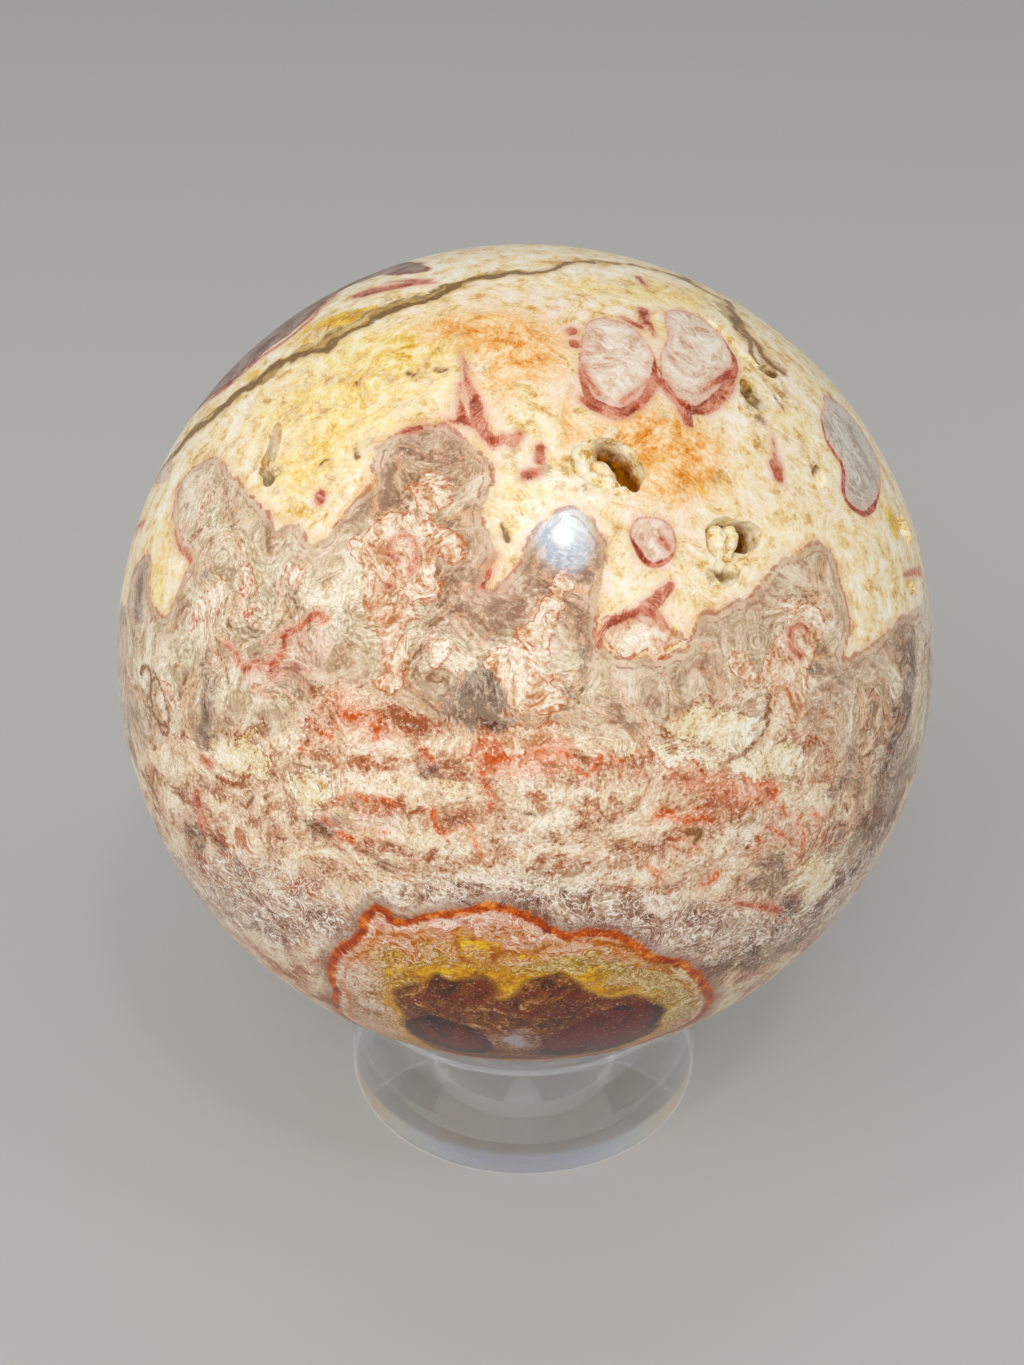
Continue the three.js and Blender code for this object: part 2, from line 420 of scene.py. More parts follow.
# Bodies of cream and peach chalcedony that have grown inside the plumes
GROWTHS = {
    "eye": [
        (-20.4, 11.6), (-19.4, 14), (-16.6, 15.6), (-13.6, 16.3), (-11.6, 14.9), (-8.6, 13.8),
        (-8.2, 11), (-10.6, 9.6), (-10.3, 7), (-12.9, 5.8), (-15.4, 5.4), (-18.3, 7.4), (-18.6, 9.6),
    ],
    "eye_root": [
        (-17.8, 5.4), (-14.4, 6.2), (-12.6, 4.6), (-13.3, 0.4), (-13.7, -2.4), (-15.4, -5.2),
        (-17.2, -3), (-16.4, 0.6), (-17.4, 3.2),
    ],
    "peak_body": [
        (2.3, 7.5), (4.9, 8.3), (5.4, 6.2), (3, 4), (3.3, 2), (2.3, -1), (3.7, -3.6), (4.2, -6.4),
        (1.2, -8), (-1.6, -7.2), (-3, -3.4), (-4.2, -0.4), (-2, 1.6), (0.4, 4),
    ],
    "east_eye": [
        (32.4, 5.4), (36, 5.9), (38.6, 4), (38, 1), (36, -2), (35.8, -5.8), (33.4, -7.6), (30, -4.2),
        (29, -0.6), (31.4, 2),
    ],
    "top_eye": [(-14.6, 19.7), (-12.4, 20.9), (-9.8, 20.4), (-8.4, 18.6), (-10, 17.2), (-12.4, 17.2)],
    "west_peach": [
        (-41.9, 9.6), (-43, 7.8), (-44.9, 7), (-45.2, 5.5), (-43.5, 3.9), (-42, 5.2), (-40.5, 4.8),
        (-40, 6.9), (-41.1, 8.7),
    ],
    "west_small": [(-35.3, 4.4), (-34.1, 5.2), (-32.9, 4), (-33.6, 2.8), (-35.1, 3)],
    "west_ring": [(-29.9, 9.5), (-28.6, 10.6), (-27.1, 10.1), (-26.9, 8.5), (-28.6, 8.1)],
    "west_cream": [(-37, 10), (-35.8, 9.6), (-35, 7.2), (-35.8, 6.4), (-37.2, 8.2)],
    "west_high": [(-48, 20), (-46.8, 20), (-46.5, 18.2), (-47.6, 17.4)],
    "west_lens": [(-54.6, -3.6), (-51.6, -4), (-50, -5.8), (-51.8, -8.2), (-54.8, -7.8), (-56.2, -5.4)],
    "chamber": [(8.9, 3.2), (11.6, 4), (15.6, 3.6), (17.6, 1.6), (14.6, 0.1), (10.6, 0.6)],
    "mid_cream": [(-12, 1.6), (-10.6, 2.6), (-9, 1.4), (-9.4, -0.8), (-11.4, -1)],
    "east_low": [(24.4, -0.4), (26.6, 0.6), (28.2, -0.6), (27, -2.6), (24.8, -2.4)],
    "peak_low": [(-2, -8), (1, -7.4), (5, -8), (4.4, -10), (0, -10.4), (-3, -9.8)],
    "back_eye": [(146, 20), (150, 24), (156, 22), (156, 16), (151, 12), (146, 15)],
    "back_root": [(150, 10), (155, 8), (154, 0), (150, -5), (147, 0)],
    "back_body": [(180, 10), (186, 12), (190, 7), (187, 1), (182, -4), (178, 2)],
    "side_eye": [(82, 16), (86, 19), (90, 16), (89, 10), (85, 8), (82, 11)],
    "side_body": [(111, 8), (117, 11), (120, 5), (115, -1), (110, 2)],
    "far_eye": [(220, 18), (226, 22), (231, 17), (228, 11), (222, 12)],
    "far_body": [(256, 11), (263, 14), (268, 9), (264, 3), (257, 4)],
}

# Eyes: rings about a point of a plume, as (east, north, radius)
EYES = [
    (-28.5, 9.3, 4.2), (-34, 4.1, 3.6), (-22.3, 3.4, 2.6), (-9.8, 0.6, 2.4), (34.6, 2.2, 3.4),
    (-14.7, 11.6, 3), (17, -2.6, 2), (28, 1.6, 2.4), (-41.6, -3.4, 2.4), (151, 18, 4), (185, 6, 4),
    (86, 13, 4), (116, 4, 3.4), (226, 16, 4), (262, 8, 3.6), (3.4, -4.8, 2.4), (-47.4, 19, 2.6),
]

# Cream and white streaks and patches of the lower half
CREAM_BODIES = {
    "east_lens": [(48.8, -3), (47.8, -4.8), (45, -7.1), (42.9, -7.9), (43, -5.6), (46, -3.2)],
    "east_lens_low": [(43, -8.2), (42.6, -10.2), (40.6, -10.8), (38.8, -11.2), (38.7, -9.2), (40.8, -8)],
    "east_cream": [
        (28.6, -11.4), (32.6, -10.4), (36, -11), (36, -14), (32.2, -15.2), (28, -14.2), (25, -13.4),
    ],
    "east_flow": [
        (16.4, -8.6), (18.2, -6.3), (20.3, -5.3), (23.4, -6.1), (26.2, -6.3), (28.6, -8), (28, -9.6),
        (25.2, -11.2), (22, -10.6), (19, -10.4),
    ],
    "scallop_cream": [
        (10.4, -10.6), (12.5, -10), (15.6, -10.8), (19, -11.4), (22.6, -11.2), (24.6, -13.6),
        (22.4, -13.6), (19.8, -11.8), (17.6, -13.2), (14.8, -11.3), (12.4, -11.2),
    ],
    "east_white": [
        (51.1, -7.7), (53.4, -9.6), (54.8, -14), (54.2, -17.1), (50.4, -17.8), (48.4, -16), (49.7, -11),
    ],
    "east_foot": [(41.6, -28.2), (42.9, -26.2), (47.2, -25.8), (51.6, -28.6), (53.4, -32.3), (48.6, -33)],
    "west_cream": [(-41.6, -10.8), (-36.3, -10), (-33, -12), (-34, -15), (-39.5, -15.6), (-42.4, -13.4)],
    "mid_white": [(-29.8, -14.6), (-26.4, -14), (-24, -15.2), (-24.6, -17.6), (-28.6, -18.6), (-30, -17)],
    "white_bit": [(-36.4, -9.2), (-33.4, -8.2), (-31.8, -8.9), (-34.6, -10.4)],
}

# Rounded nodules with a dark red rim that is thick on one side: (outline, thin rim, thick rim,
# degrees that the thick side lies at, from east towards north, and how grey the nodule is)
NODULES = {
    "twin_west": (
        [(8.9, 40.6), (10.2, 44.5), (13, 46), (15.9, 45.8), (18.4, 44.5), (19.9, 41.9), (20.5, 39),
         (19.9, 35.4), (17.6, 32), (15.2, 30.1), (13, 29.2), (10.6, 29.8), (8.4, 31.2), (7.7, 34.8), (8, 38)],
        0.1, 1.15, -75, 0.05,
    ),
    "twin_east": (
        [(27.2, 48.4), (31, 49.2), (34.5, 48.4), (36.2, 46.1), (36.9, 43.3), (36.4, 39.6), (33.8, 36.2),
         (30.4, 33.4), (27.4, 31.4), (24.6, 30.3), (22.4, 31), (20.8, 33.2), (20.5, 35.9), (21.6, 39.1),
         (24.5, 43)],
        0.1, 1.1, -55, 0.1,
    ),
    "ring": (
        [(12.3, 13.6), (13.6, 15.8), (16, 16), (18, 14.4), (18, 11.8), (16, 10), (13.8, 10.4)],
        0.1, 0.7, -110, 0,
    ),
    "east_grey": (
        [(53.1, 33.9), (50.1, 31.9), (48.1, 29), (48.3, 26.2), (49, 24.2), (46.9, 21), (47.8, 18.4),
         (50.8, 17.5), (53.6, 18.3), (57, 20.3), (60.8, 23.1), (64.9, 26.7), (65, 31), (61.6, 35), (57, 36)],
        0.15, 0.8, -140, 1,
    ),
    "far_west": (
        [(-74, 25.7), (-68, 26.4), (-63.4, 25.6), (-62.4, 23.3), (-67, 23), (-72, 23.6)],
        0.1, 0.2, -90, 0.1,
    ),
    "back_round": ([(166, 38), (172, 41), (178, 38), (178, 31), (172, 28), (167, 31)], 0.2, 1.2, -70, 0.1),
    "back_twin": ([(179, 44), (185, 46), (190, 42), (188, 36), (182, 36)], 0.2, 0.9, -100, 0.4),
    "back_grey": ([(236, 34), (243, 38), (249, 34), (247, 27), (240, 24), (235, 28)], 0.25, 0.8, -140, 1),
    "side_round": ([(98, 36), (104, 39), (108, 34), (104, 29), (99, 30)], 0.2, 1.0, -80, 0.1),
}

# Dark red marks: (path, half width at its start, half width at its end)
RED_MARKS = {
    "dart": ([(-10.4, 39.4), (-9.2, 36.8), (-8.4, 34.1), (-7.3, 31.9)], 0.14, 0.5),
    "dart_side": ([(-9.6, 34), (-9, 31), (-8.6, 28.6)], 0.08, 0.5),
    "dart_foot": ([(-7.3, 31.9), (-6.6, 29.4), (-6, 27.8)], 0.5, 0.8),
    "dart_west": ([(-12, 27.6), (-9, 28.4), (-6.6, 28)], 0.12, 0.5),
    "drip": ([(-5.4, 26.8), (-3.8, 25.2), (-3, 26)], 0.6, 0.4),
    "drop_a": ([(-1.5, 25), (-0.7, 26.4)], 0.6, 0.5),
    "drop_b": ([(1.9, 24.6), (1.7, 22.8)], 0.5, 0.5),
    "drop_c": ([(-0.3, 20.9), (1.2, 21.5)], 0.5, 0.5),
    "cap_mark": ([(-16.4, 27), (-14, 27.7)], 0.3, 0.4),
    "twin_west_band": (
        [(7.8, 31.7), (9.2, 30.4), (11.1, 29.6), (13, 29.3), (15.1, 30.3), (17.3, 32.2), (19.7, 34.9)],
        0.45, 0.4,
    ),
    "twin_east_band": (
        [(20.1, 35), (20.9, 33.1), (22.4, 31), (24.8, 30.4), (27.5, 31.4), (30.5, 33.4), (33.1, 35.8),
         (35.2, 38.4)],
        0.5, 0.35,
    ),
    "twin_west_stroke": ([(8.4, 37), (9, 34.4), (10.3, 32.4)], 0.12, 0.3),
    "twin_west_hook": ([(17.9, 34.8), (16.1, 33.4), (14.2, 32), (13.4, 31.2)], 0.1, 0.2),
    "twin_east_stroke": ([(27.2, 33.8), (29.6, 35.4), (31.7, 36.2), (33.6, 37.4)], 0.35, 0.5),
    "twin_drip": ([(22.6, 31), (22.7, 28.2)], 1.0, 0.3),
    "twin_point": ([(22.4, 45.6), (21.8, 42.6)], 0.3, 0.15),
    "capsule": ([(22.6, 48.3), (21.4, 45.8)], 0.7, 0.6),
    "capsule_side": ([(17.6, 46.4), (20.2, 44.4)], 0.35, 0.5),
    "dot": ([(7.8, 43), (7.85, 42.8)], 0.62, 0.62),
    "dot_low": ([(7.9, 40.7), (7.95, 40.5)], 0.6, 0.6),
    "top_dart": ([(28.4, 58.3), (27.8, 55.2)], 0.35, 0.3),
    "east_drop": ([(35, 23.4), (34.9, 21.9)], 0.95, 0.7),
    "east_tail": ([(36.1, 27.4), (35.2, 24.6), (35, 23.4)], 0.12, 0.45),
    "west_pit": ([(-26.6, 19.1), (-26.4, 18.2)], 0.6, 0.5),
    "ring_spot": ([(16.3, 13.2), (17.2, 12)], 0.35, 0.3),
    "antler": ([(8.3, 0.8), (8.9, 2.6), (10.4, 3.9), (13.2, 4.7), (15, 4.9)], 0.3, 0.55),
    "antler_up": ([(14.2, 5), (15.4, 6.3), (16.8, 7.7)], 0.8, 0.5),
    "antler_down": ([(14.6, 5), (15.4, 4.2), (16.3, 3.2)], 0.6, 0.4),
    "eye_west": ([(-17.1, 11.7), (-15.6, 13.2), (-13.9, 13.5), (-12.9, 12.2)], 0.12, 0.2),
    "eye_east": ([(-12.9, 12.2), (-12.8, 10.6), (-13.5, 9.2)], 0.24, 0.28),
    "eye_foot": ([(-17.1, 11.7), (-15.4, 10.8), (-14.6, 10.6)], 0.28, 0.12),
    "eye_drop": ([(-16.8, 7.9), (-15.9, 7.6)], 0.4, 0.3),
    "east_eye_west": ([(34.6, 4), (33.2, 2.4), (33.4, 0.6), (34.7, 0)], 0.22, 0.4),
    "east_eye_top": ([(34.6, 4), (36, 3), (36.2, 1.8)], 0.24, 0.14),
    "peak_west": ([(-53.2, 15.6), (-50.8, 13.5), (-48.6, 12.1), (-47.3, 11.4)], 0.12, 0.4),
    "peak_side": ([(-3.4, 11.6), (-4.1, 9.4), (-4.9, 7.6)], 0.2, 0.35),
    "zigzag": (
        [(-38.9, 1.3), (-37.4, 0), (-36.2, -1.4), (-35.4, -2.2), (-34, -1.3), (-32.6, -1.5), (-31.6, -2.2)],
        0.25, 0.4,
    ),
    "zigzag_east": (
        [(-31.8, -1.8), (-30.4, -1), (-29.6, 0.8), (-29.6, 2), (-28, 2.7), (-26.3, 3.9), (-25.2, 4.6),
         (-24, 4)],
        0.42, 0.3,
    ),
    "east_fleck": ([(59.6, 10.4), (64, 11), (69, 11.3)], 0.3, 0.5),
    "red_lens": ([(-41.6, 54), (-38, 54.6)], 0.5, 1.2),
    "red_lens_east": ([(-38, 54.6), (-32, 55), (-27, 55.3), (-20.6, 55.2)], 1.2, 0.2),
    "red_lens_top": ([(-36, 57), (-28, 56.6), (-23, 56)], 0.2, 0.5),
    "mauve_edge": (
        [(-67.5, 35.8), (-61, 37), (-57.5, 39), (-54.9, 41.7), (-50.7, 44.4), (-48.5, 48.6), (-50.6, 52.2),
         (-52, 56)],
        0.45, 0.4,
    ),
    "far_red": ([(-77, 16.2), (-72, 17.2), (-67.4, 17.2)], 0.3, 0.5),
    "dark_red_foot": ([(32.3, -31.9), (35.1, -32.5), (38.6, -33.1), (42.3, -34.1)], 0.4, 0.5),
    "west_rust_a": ([(-48.5, -18), (-49, -20), (-50.2, -22.6)], 0.6, 0.4),
    "west_rust_b": ([(-45.2, -13), (-43.6, -13.8)], 0.6, 0.5),
    "red_dot": ([(-26.2, -20), (-25.6, -20.4)], 0.5, 0.4),
    "back_dart": ([(140, 44), (144, 38), (148, 34)], 0.4, 1.5),
    "back_antler": ([(164, 2), (168, 4), (173, 4), (176, 7)], 0.4, 0.9),
    "back_zigzag": ([(196, 2), (200, -1), (203, 1), (207, -2), (210, 2), (214, 4)], 0.4, 0.5),
    "back_drop": ([(204, 33), (205, 30)], 0.5, 1.1),
    "back_capsule": ([(128, 38), (131, 41)], 0.5, 0.6),
    "side_drop": ([(76, 33), (77, 29)], 0.4, 1.0),
    "far_dart": ([(262, 42), (265, 36), (266, 31)], 0.5, 1.4),
}

# Coral lines and blots of the pink band below the plumes: (path, half widths)
CORAL_LINES = {
    "scallop": (
        [(-4.5, -18.6), (-4.1, -17.2), (-4.9, -15.3), (-5, -13.8), (-3.9, -12.5), (-2, -11.8), (0.2, -11.4),
         (2.4, -11.3), (4.4, -11.8), (5.6, -12.6), (6.1, -13.6), (7, -14), (8.4, -13.2), (8.9, -12.1),
         (9.9, -11.4), (11.5, -11.9), (13, -11.3), (14.9, -11.5), (16.4, -12.6), (17.3, -13.6),
         (18.4, -13.1), (19.7, -11.8), (20.9, -12.9), (22.2, -14), (23.2, -14.8), (24.3, -14.2),
         (25.7, -13.2), (27.8, -14.4), (30.2, -15.1), (32.2, -16.2), (32.3, -17.6)],
        0.22, 0.25,
    ),
    "scallop_thick": ([(-4.6, -12.6), (-2, -11.6), (0.4, -11.2), (3, -11.1), (5.2, -12)], 0.4, 0.35),
    "west": ([(-20.8, -7.2), (-18.2, -8), (-15.4, -9.4), (-12.4, -10), (-10.4, -12)], 0.15, 0.15),
    "low": (
        [(16.4, -19), (17.8, -18.6), (19.4, -19.3), (21.3, -19.9), (23.2, -19.8), (25.1, -20.2)], 0.6, 0.3,
    ),
    "low_tip": ([(17.8, -18.5), (18.8, -18.9)], 0.35, 0.5),
    "low_west": ([(-20.7, -17.3), (-18.4, -17.2), (-16.1, -17.5)], 0.3, 0.3),
    "low_west_b": ([(-19.6, -21.4), (-17.7, -21.2)], 0.25, 0.3),
    "low_west_c": ([(-24.4, -18), (-22.1, -16.7)], 0.25, 0.15),
    "low_west_d": ([(-24.2, -22.2), (-22.3, -22.5)], 0.4, 0.3),
    "step": (
        [(-11.2, -18.6), (-10.8, -20), (-10, -21.2), (-8.5, -20.6), (-7.3, -20.1), (-6.2, -20.5), (-6, -22),
         (-5.4, -23.8)],
        0.32, 0.22,
    ),
    "east": ([(30, -15.2), (32.2, -16.2), (32.4, -17.8)], 0.3, 0.3),
    "east_hook": ([(34.5, -18.3), (36, -19.5), (38.5, -19.9), (41.3, -20.3), (42.8, -21.6)], 0.3, 0.25),
    "loop": ([(32.5, -23.4), (32.7, -21.9), (34.4, -21.4), (36.3, -22.4), (37.7, -23.7)], 0.15, 0.12),
    "loop_east": ([(37.7, -22.2), (37.9, -21), (39.2, -21.3), (40.5, -23.3), (41, -25.1)], 0.15, 0.12),
    "blot_a": ([(-20.9, -7.4), (-19.8, -7.2)], 0.75, 0.6),
    "blot_b": ([(-17.1, -8.1), (-17.5, -9.7)], 0.45, 0.3),
    "blot_c": ([(-24.8, -9.4), (-23.6, -9.6)], 0.3, 0.4),
    "blot_d": ([(-28.2, -11.2), (-27.2, -11.4)], 0.25, 0.25),
    "nodule_edge": (
        [(19.6, -23.9), (19.3, -22.8), (20.4, -22.5), (22.6, -23.2), (23.2, -24.1), (21.4, -24.2)],
        0.2, 0.2,
    ),
    "rust_a": ([(16.1, -25.6), (17, -26.3), (18.2, -27)], 0.35, 0.3),
    "rust_b": ([(26.6, -27), (25.6, -28), (24.6, -28.6)], 0.4, 0.3),
    "back": ([(150, -13), (156, -11), (162, -14), (168, -12), (174, -15), (181, -12), (188, -14)], 0.5, 0.3),
    "back_low": ([(120, -19), (127, -17), (134, -20), (142, -18)], 0.4, 0.4),
    "side": ([(76, -16), (84, -13), (92, -17), (100, -15), (108, -18)], 0.4, 0.4),
    "far": ([(214, -14), (222, -16), (230, -13), (240, -17), (250, -14), (262, -16)], 0.5, 0.3),
}

# Brown threads, cracks and small pits: (path, half widths)
BROWN_LINES = {
    "thread": ([(-26.5, -13.4), (-28.6, -13.3), (-30.7, -13.5), (-31.2, -15.1), (-31.4, -17.1)], 0.02, 0.14),
    "thread_low": (
        [(-31.4, -17.1), (-31, -18.3), (-29.9, -19.7), (-28.4, -20.9), (-27.5, -21.5), (-26.2, -22.8)],
        0.1, 0.22,
    ),
    "zigzag_tail": ([(-39.8, 0.9), (-39.2, -1.4), (-38.1, -4.7), (-35.6, -4.9)], 0.1, 0.02),
    "vein": ([(30.5, -4.6), (29.9, -7.4), (29.4, -9.4), (27.6, -11), (25.5, -12), (24.2, -13.2)], 0.3, 0.05),
    "crevice": (
        [(55.6, 56), (48.2, 50.4), (45.6, 46.1), (44.8, 43.2), (45.1, 40.5), (46.9, 38.9)], 0.55, 0.35,
    ),
    "nook_crack": ([(40.5, 37.4), (40.5, 36.2), (40.3, 33.5), (41.6, 31.8)], 0.12, 0.06),
    "lens_outline": (
        [(-59.4, -2.6), (-57.4, -1.4), (-55.8, -3), (-56.4, -6), (-54.6, -9.4), (-52.6, -10.2), (-51.6, -8),
         (-52.8, -4.6), (-55, -2.4)],
        0.25, 0.2,
    ),
    "pit_a": ([(-18, 35.6), (-17, 35.4), (-16.2, 35.8)], 0.25, 0.1),
    "pit_b": ([(-13.4, 36), (-12.1, 36.6)], 0.1, 0.2),
    "pit_c": ([(-25.6, 35.2), (-24.8, 34.6)], 0.25, 0.1),
    "pit_d": ([(-22.9, 25.4), (-22, 23.8)], 0.1, 0.28),
    "pit_e": ([(-27.4, 23), (-26, 23.6)], 0.2, 0.05),
    "crack": ([(-11.4, 42), (-9.6, 42.6), (-8.4, 41.8)], 0.1, 0.02),
    "honey_pit": ([(-4.4, 25.2), (-3.1, 25.9), (-2.6, 25.2)], 0.12, 0.3),
    "honey_pit_low": ([(-2.3, 14.9), (-2.2, 13.4)], 0.2, 0.35),
    "lens_edge": ([(-54.6, -3.2), (-56.6, -5.2), (-55.6, -8), (-52.8, -9.2)], 0.15, 0.3),
    "lens_edge_in": ([(-54, -4.4), (-55.2, -6), (-53.6, -7.4), (-52, -6.4), (-52.4, -4.8)], 0.1, 0.1),
    "grey_edge": ([(-61.1, 12.8), (-58.2, 11.2), (-57.4, 8.5), (-55.8, 5.8)], 0.02, 0.08),
    "east_hollow": ([(20.8, -21.7), (22, -21.3), (23, -22), (22.3, -22.8)], 0.3, 0.3),
    "loop": ([(-37.7, -17.2), (-37, -17.1), (-36.9, -18), (-37.8, -18.9)], 0.12, 0.2),
    "east_slot": ([(56.8, -3.2), (58.2, -6.2), (59, -9)], 0.15, 0.1),
    "beads_a": ([(-4.1, -18.6), (-2.2, -18.1), (-0.4, -18.3), (1.5, -18.6), (3.1, -18.4)], 0.05, 0.05),
}

# The healed crack that runs over the top, the upper edge of its tan filling, and the mauve band behind it
FISSURE = [
    (-72, 24.6), (-65.3, 28.2), (-58.4, 30.8), (-53.8, 33.7), (-49.6, 36.4), (-45.9, 39), (-42, 40.2),
    (-38.9, 41.6), (-33.4, 43), (-31, 45.3), (-28, 48.2), (-24.3, 49.8), (-19.2, 50.9), (-15.8, 51.9),
    (-14.2, 53.4), (-10.7, 55.6), (-5.5, 56.6), (0, 56.8), (4.4, 58.6), (9, 61.2), (21.4, 62.8),
    (32.9, 63.8), (42.3, 62.4), (47, 59.7), (50, 57.2), (51.3, 54.8), (50.1, 52.3), (45.7, 47.8),
    (42.7, 44.1), (41.9, 40.9), (42, 38.2),
]
FISSURE_UPPER = [
    (-72, 26.6), (-66.9, 30.2), (-59.2, 33), (-51.3, 35.6), (-46.9, 38.7), (-41.4, 40.8), (-39.2, 43),
    (-36.9, 44.5), (-33.5, 47.1), (-29.5, 49.6), (-25.9, 52), (-18.4, 53), (-14.6, 54.6), (-8, 58),
]
FISSURE_FILLS = {
    "west": ([(-70, 25.8), (-62, 30.6), (-56, 33), (-50, 36.2), (-44, 39.8), (-40, 42)], 0.8, 1.2),
    "crest": (
        [(-36, 44), (-29, 48.8), (-25, 50.4), (-18.4, 51.8), (-14, 53.6), (-8, 56.4), (0, 57.4)], 1.7, 0.8,
    ),
    "east": ([(6, 60), (21, 63.4), (33, 64.2), (42, 62.8), (49, 58.6)], 0.4, 0.6),
}
FISSURE_BACK = [
    (47, 59.7), (80, 66), (110, 62), (140, 56), (165, 58), (190, 52), (215, 50), (240, 42), (262, 36),
]
MAUVE_BAND = [
    (-67.5, 36.2), (-61, 37.6), (-57.5, 39.8), (-55.4, 42.4), (-52, 46), (-50.8, 50), (-54, 57),
    (-49.4, 60), (-40, 60.6), (-30, 59), (-26, 60.4), (-36, 65), (-54, 68), (-74, 62), (-84, 50),
    (-84, 38), (-76, 33),
]

# The medallion at the foot of the stone
MEDALLION = [
    (-42.6, -50.3), (-37.8, -44.8), (-33.1, -40.5), (-28.9, -37.9), (-25.7, -35.4), (-23.2, -32.5),
    (-21.2, -31.5), (-19.7, -32.4), (-18.4, -33.9), (-15.3, -33), (-10.2, -32), (-5.5, -30.8),
    (-2.5, -31), (1.4, -32.7), (4.2, -34.4), (6.7, -35.2), (11.1, -34.8), (15.5, -35.9), (20.8, -39.5),
    (27, -41.2), (33.2, -44.5), (44.8, -51.9), (50, -60), (36, -70), (0, -75.6), (-30, -74), (-52, -69),
    (-60, -64), (-52, -56),
]
MEDALLION_CORE = [
    (-25.9, -51.6), (-25, -47.5), (-23.1, -46.1), (-17.3, -45.1), (-14.9, -43.6), (-12.6, -44.3),
    (-9.7, -44.2), (-5.8, -44.1), (-4.6, -45.8), (-4.7, -48.7), (-1.7, -47.8), (0.7, -44.6), (4.8, -43.1),
    (8.2, -44), (11.5, -46), (14.9, -48.4), (19.7, -48.2), (26.3, -49.4), (31.7, -53.5), (36.1, -59.4),
    (33, -66), (18, -71.4), (-3.2, -72.6), (-26, -72), (-33.3, -66.2), (-30, -57.6),
]
MEDALLION_LENSES = {
    "west": [
        (-27.8, -55.7), (-20.6, -53.3), (-16.1, -54.5), (-9.6, -57.6), (-8.3, -63.1), (-12, -67),
        (-20, -68), (-27.6, -65.2), (-30.6, -60.8),
    ],
    "east": [
        (5.4, -60.5), (10.7, -55), (15.7, -52.1), (20.4, -49.8), (25.6, -49.6), (30.9, -52.8),
        (35.6, -59), (33, -65), (18.2, -68.6), (7, -67.6),
    ],
}
AGATE = [(-8.5, -59), (-2.8, -56.2), (3, -57.6), (5.4, -62.4), (0, -65.4), (-7.4, -63.1)]
MEDALLION_LINES = {
    "fold": (
        [(-9.9, -35.4), (-9.9, -38.9), (-8.2, -40.7), (-5.1, -41.2), (-3.8, -39), (-5.6, -37.6),
         (-7.6, -36.2)],
        0.3, 0.3,
    ),
    "ridge": (
        [(-5.4, -39.8), (-1, -38.9), (1.5, -38.7), (4.4, -37.4), (8.9, -36.9), (12.8, -37), (16.1, -38.1),
         (19, -40.1), (24, -42.6)],
        0.35, 0.3,
    ),
    "west_line": ([(-30.6, -42), (-26, -39), (-22, -36.4), (-18.4, -36.6), (-14, -37)], 0.2, 0.15),
    "arch": ([(-0.6, -47.4), (3.7, -46.4), (7.4, -46.6), (11.7, -48.2), (16, -49.8)], 0.3, 0.3),
    "arch_low": ([(-24, -50), (-16, -48), (-8, -49.4), (0, -51.6), (8, -52)], 0.3, 0.2),
}

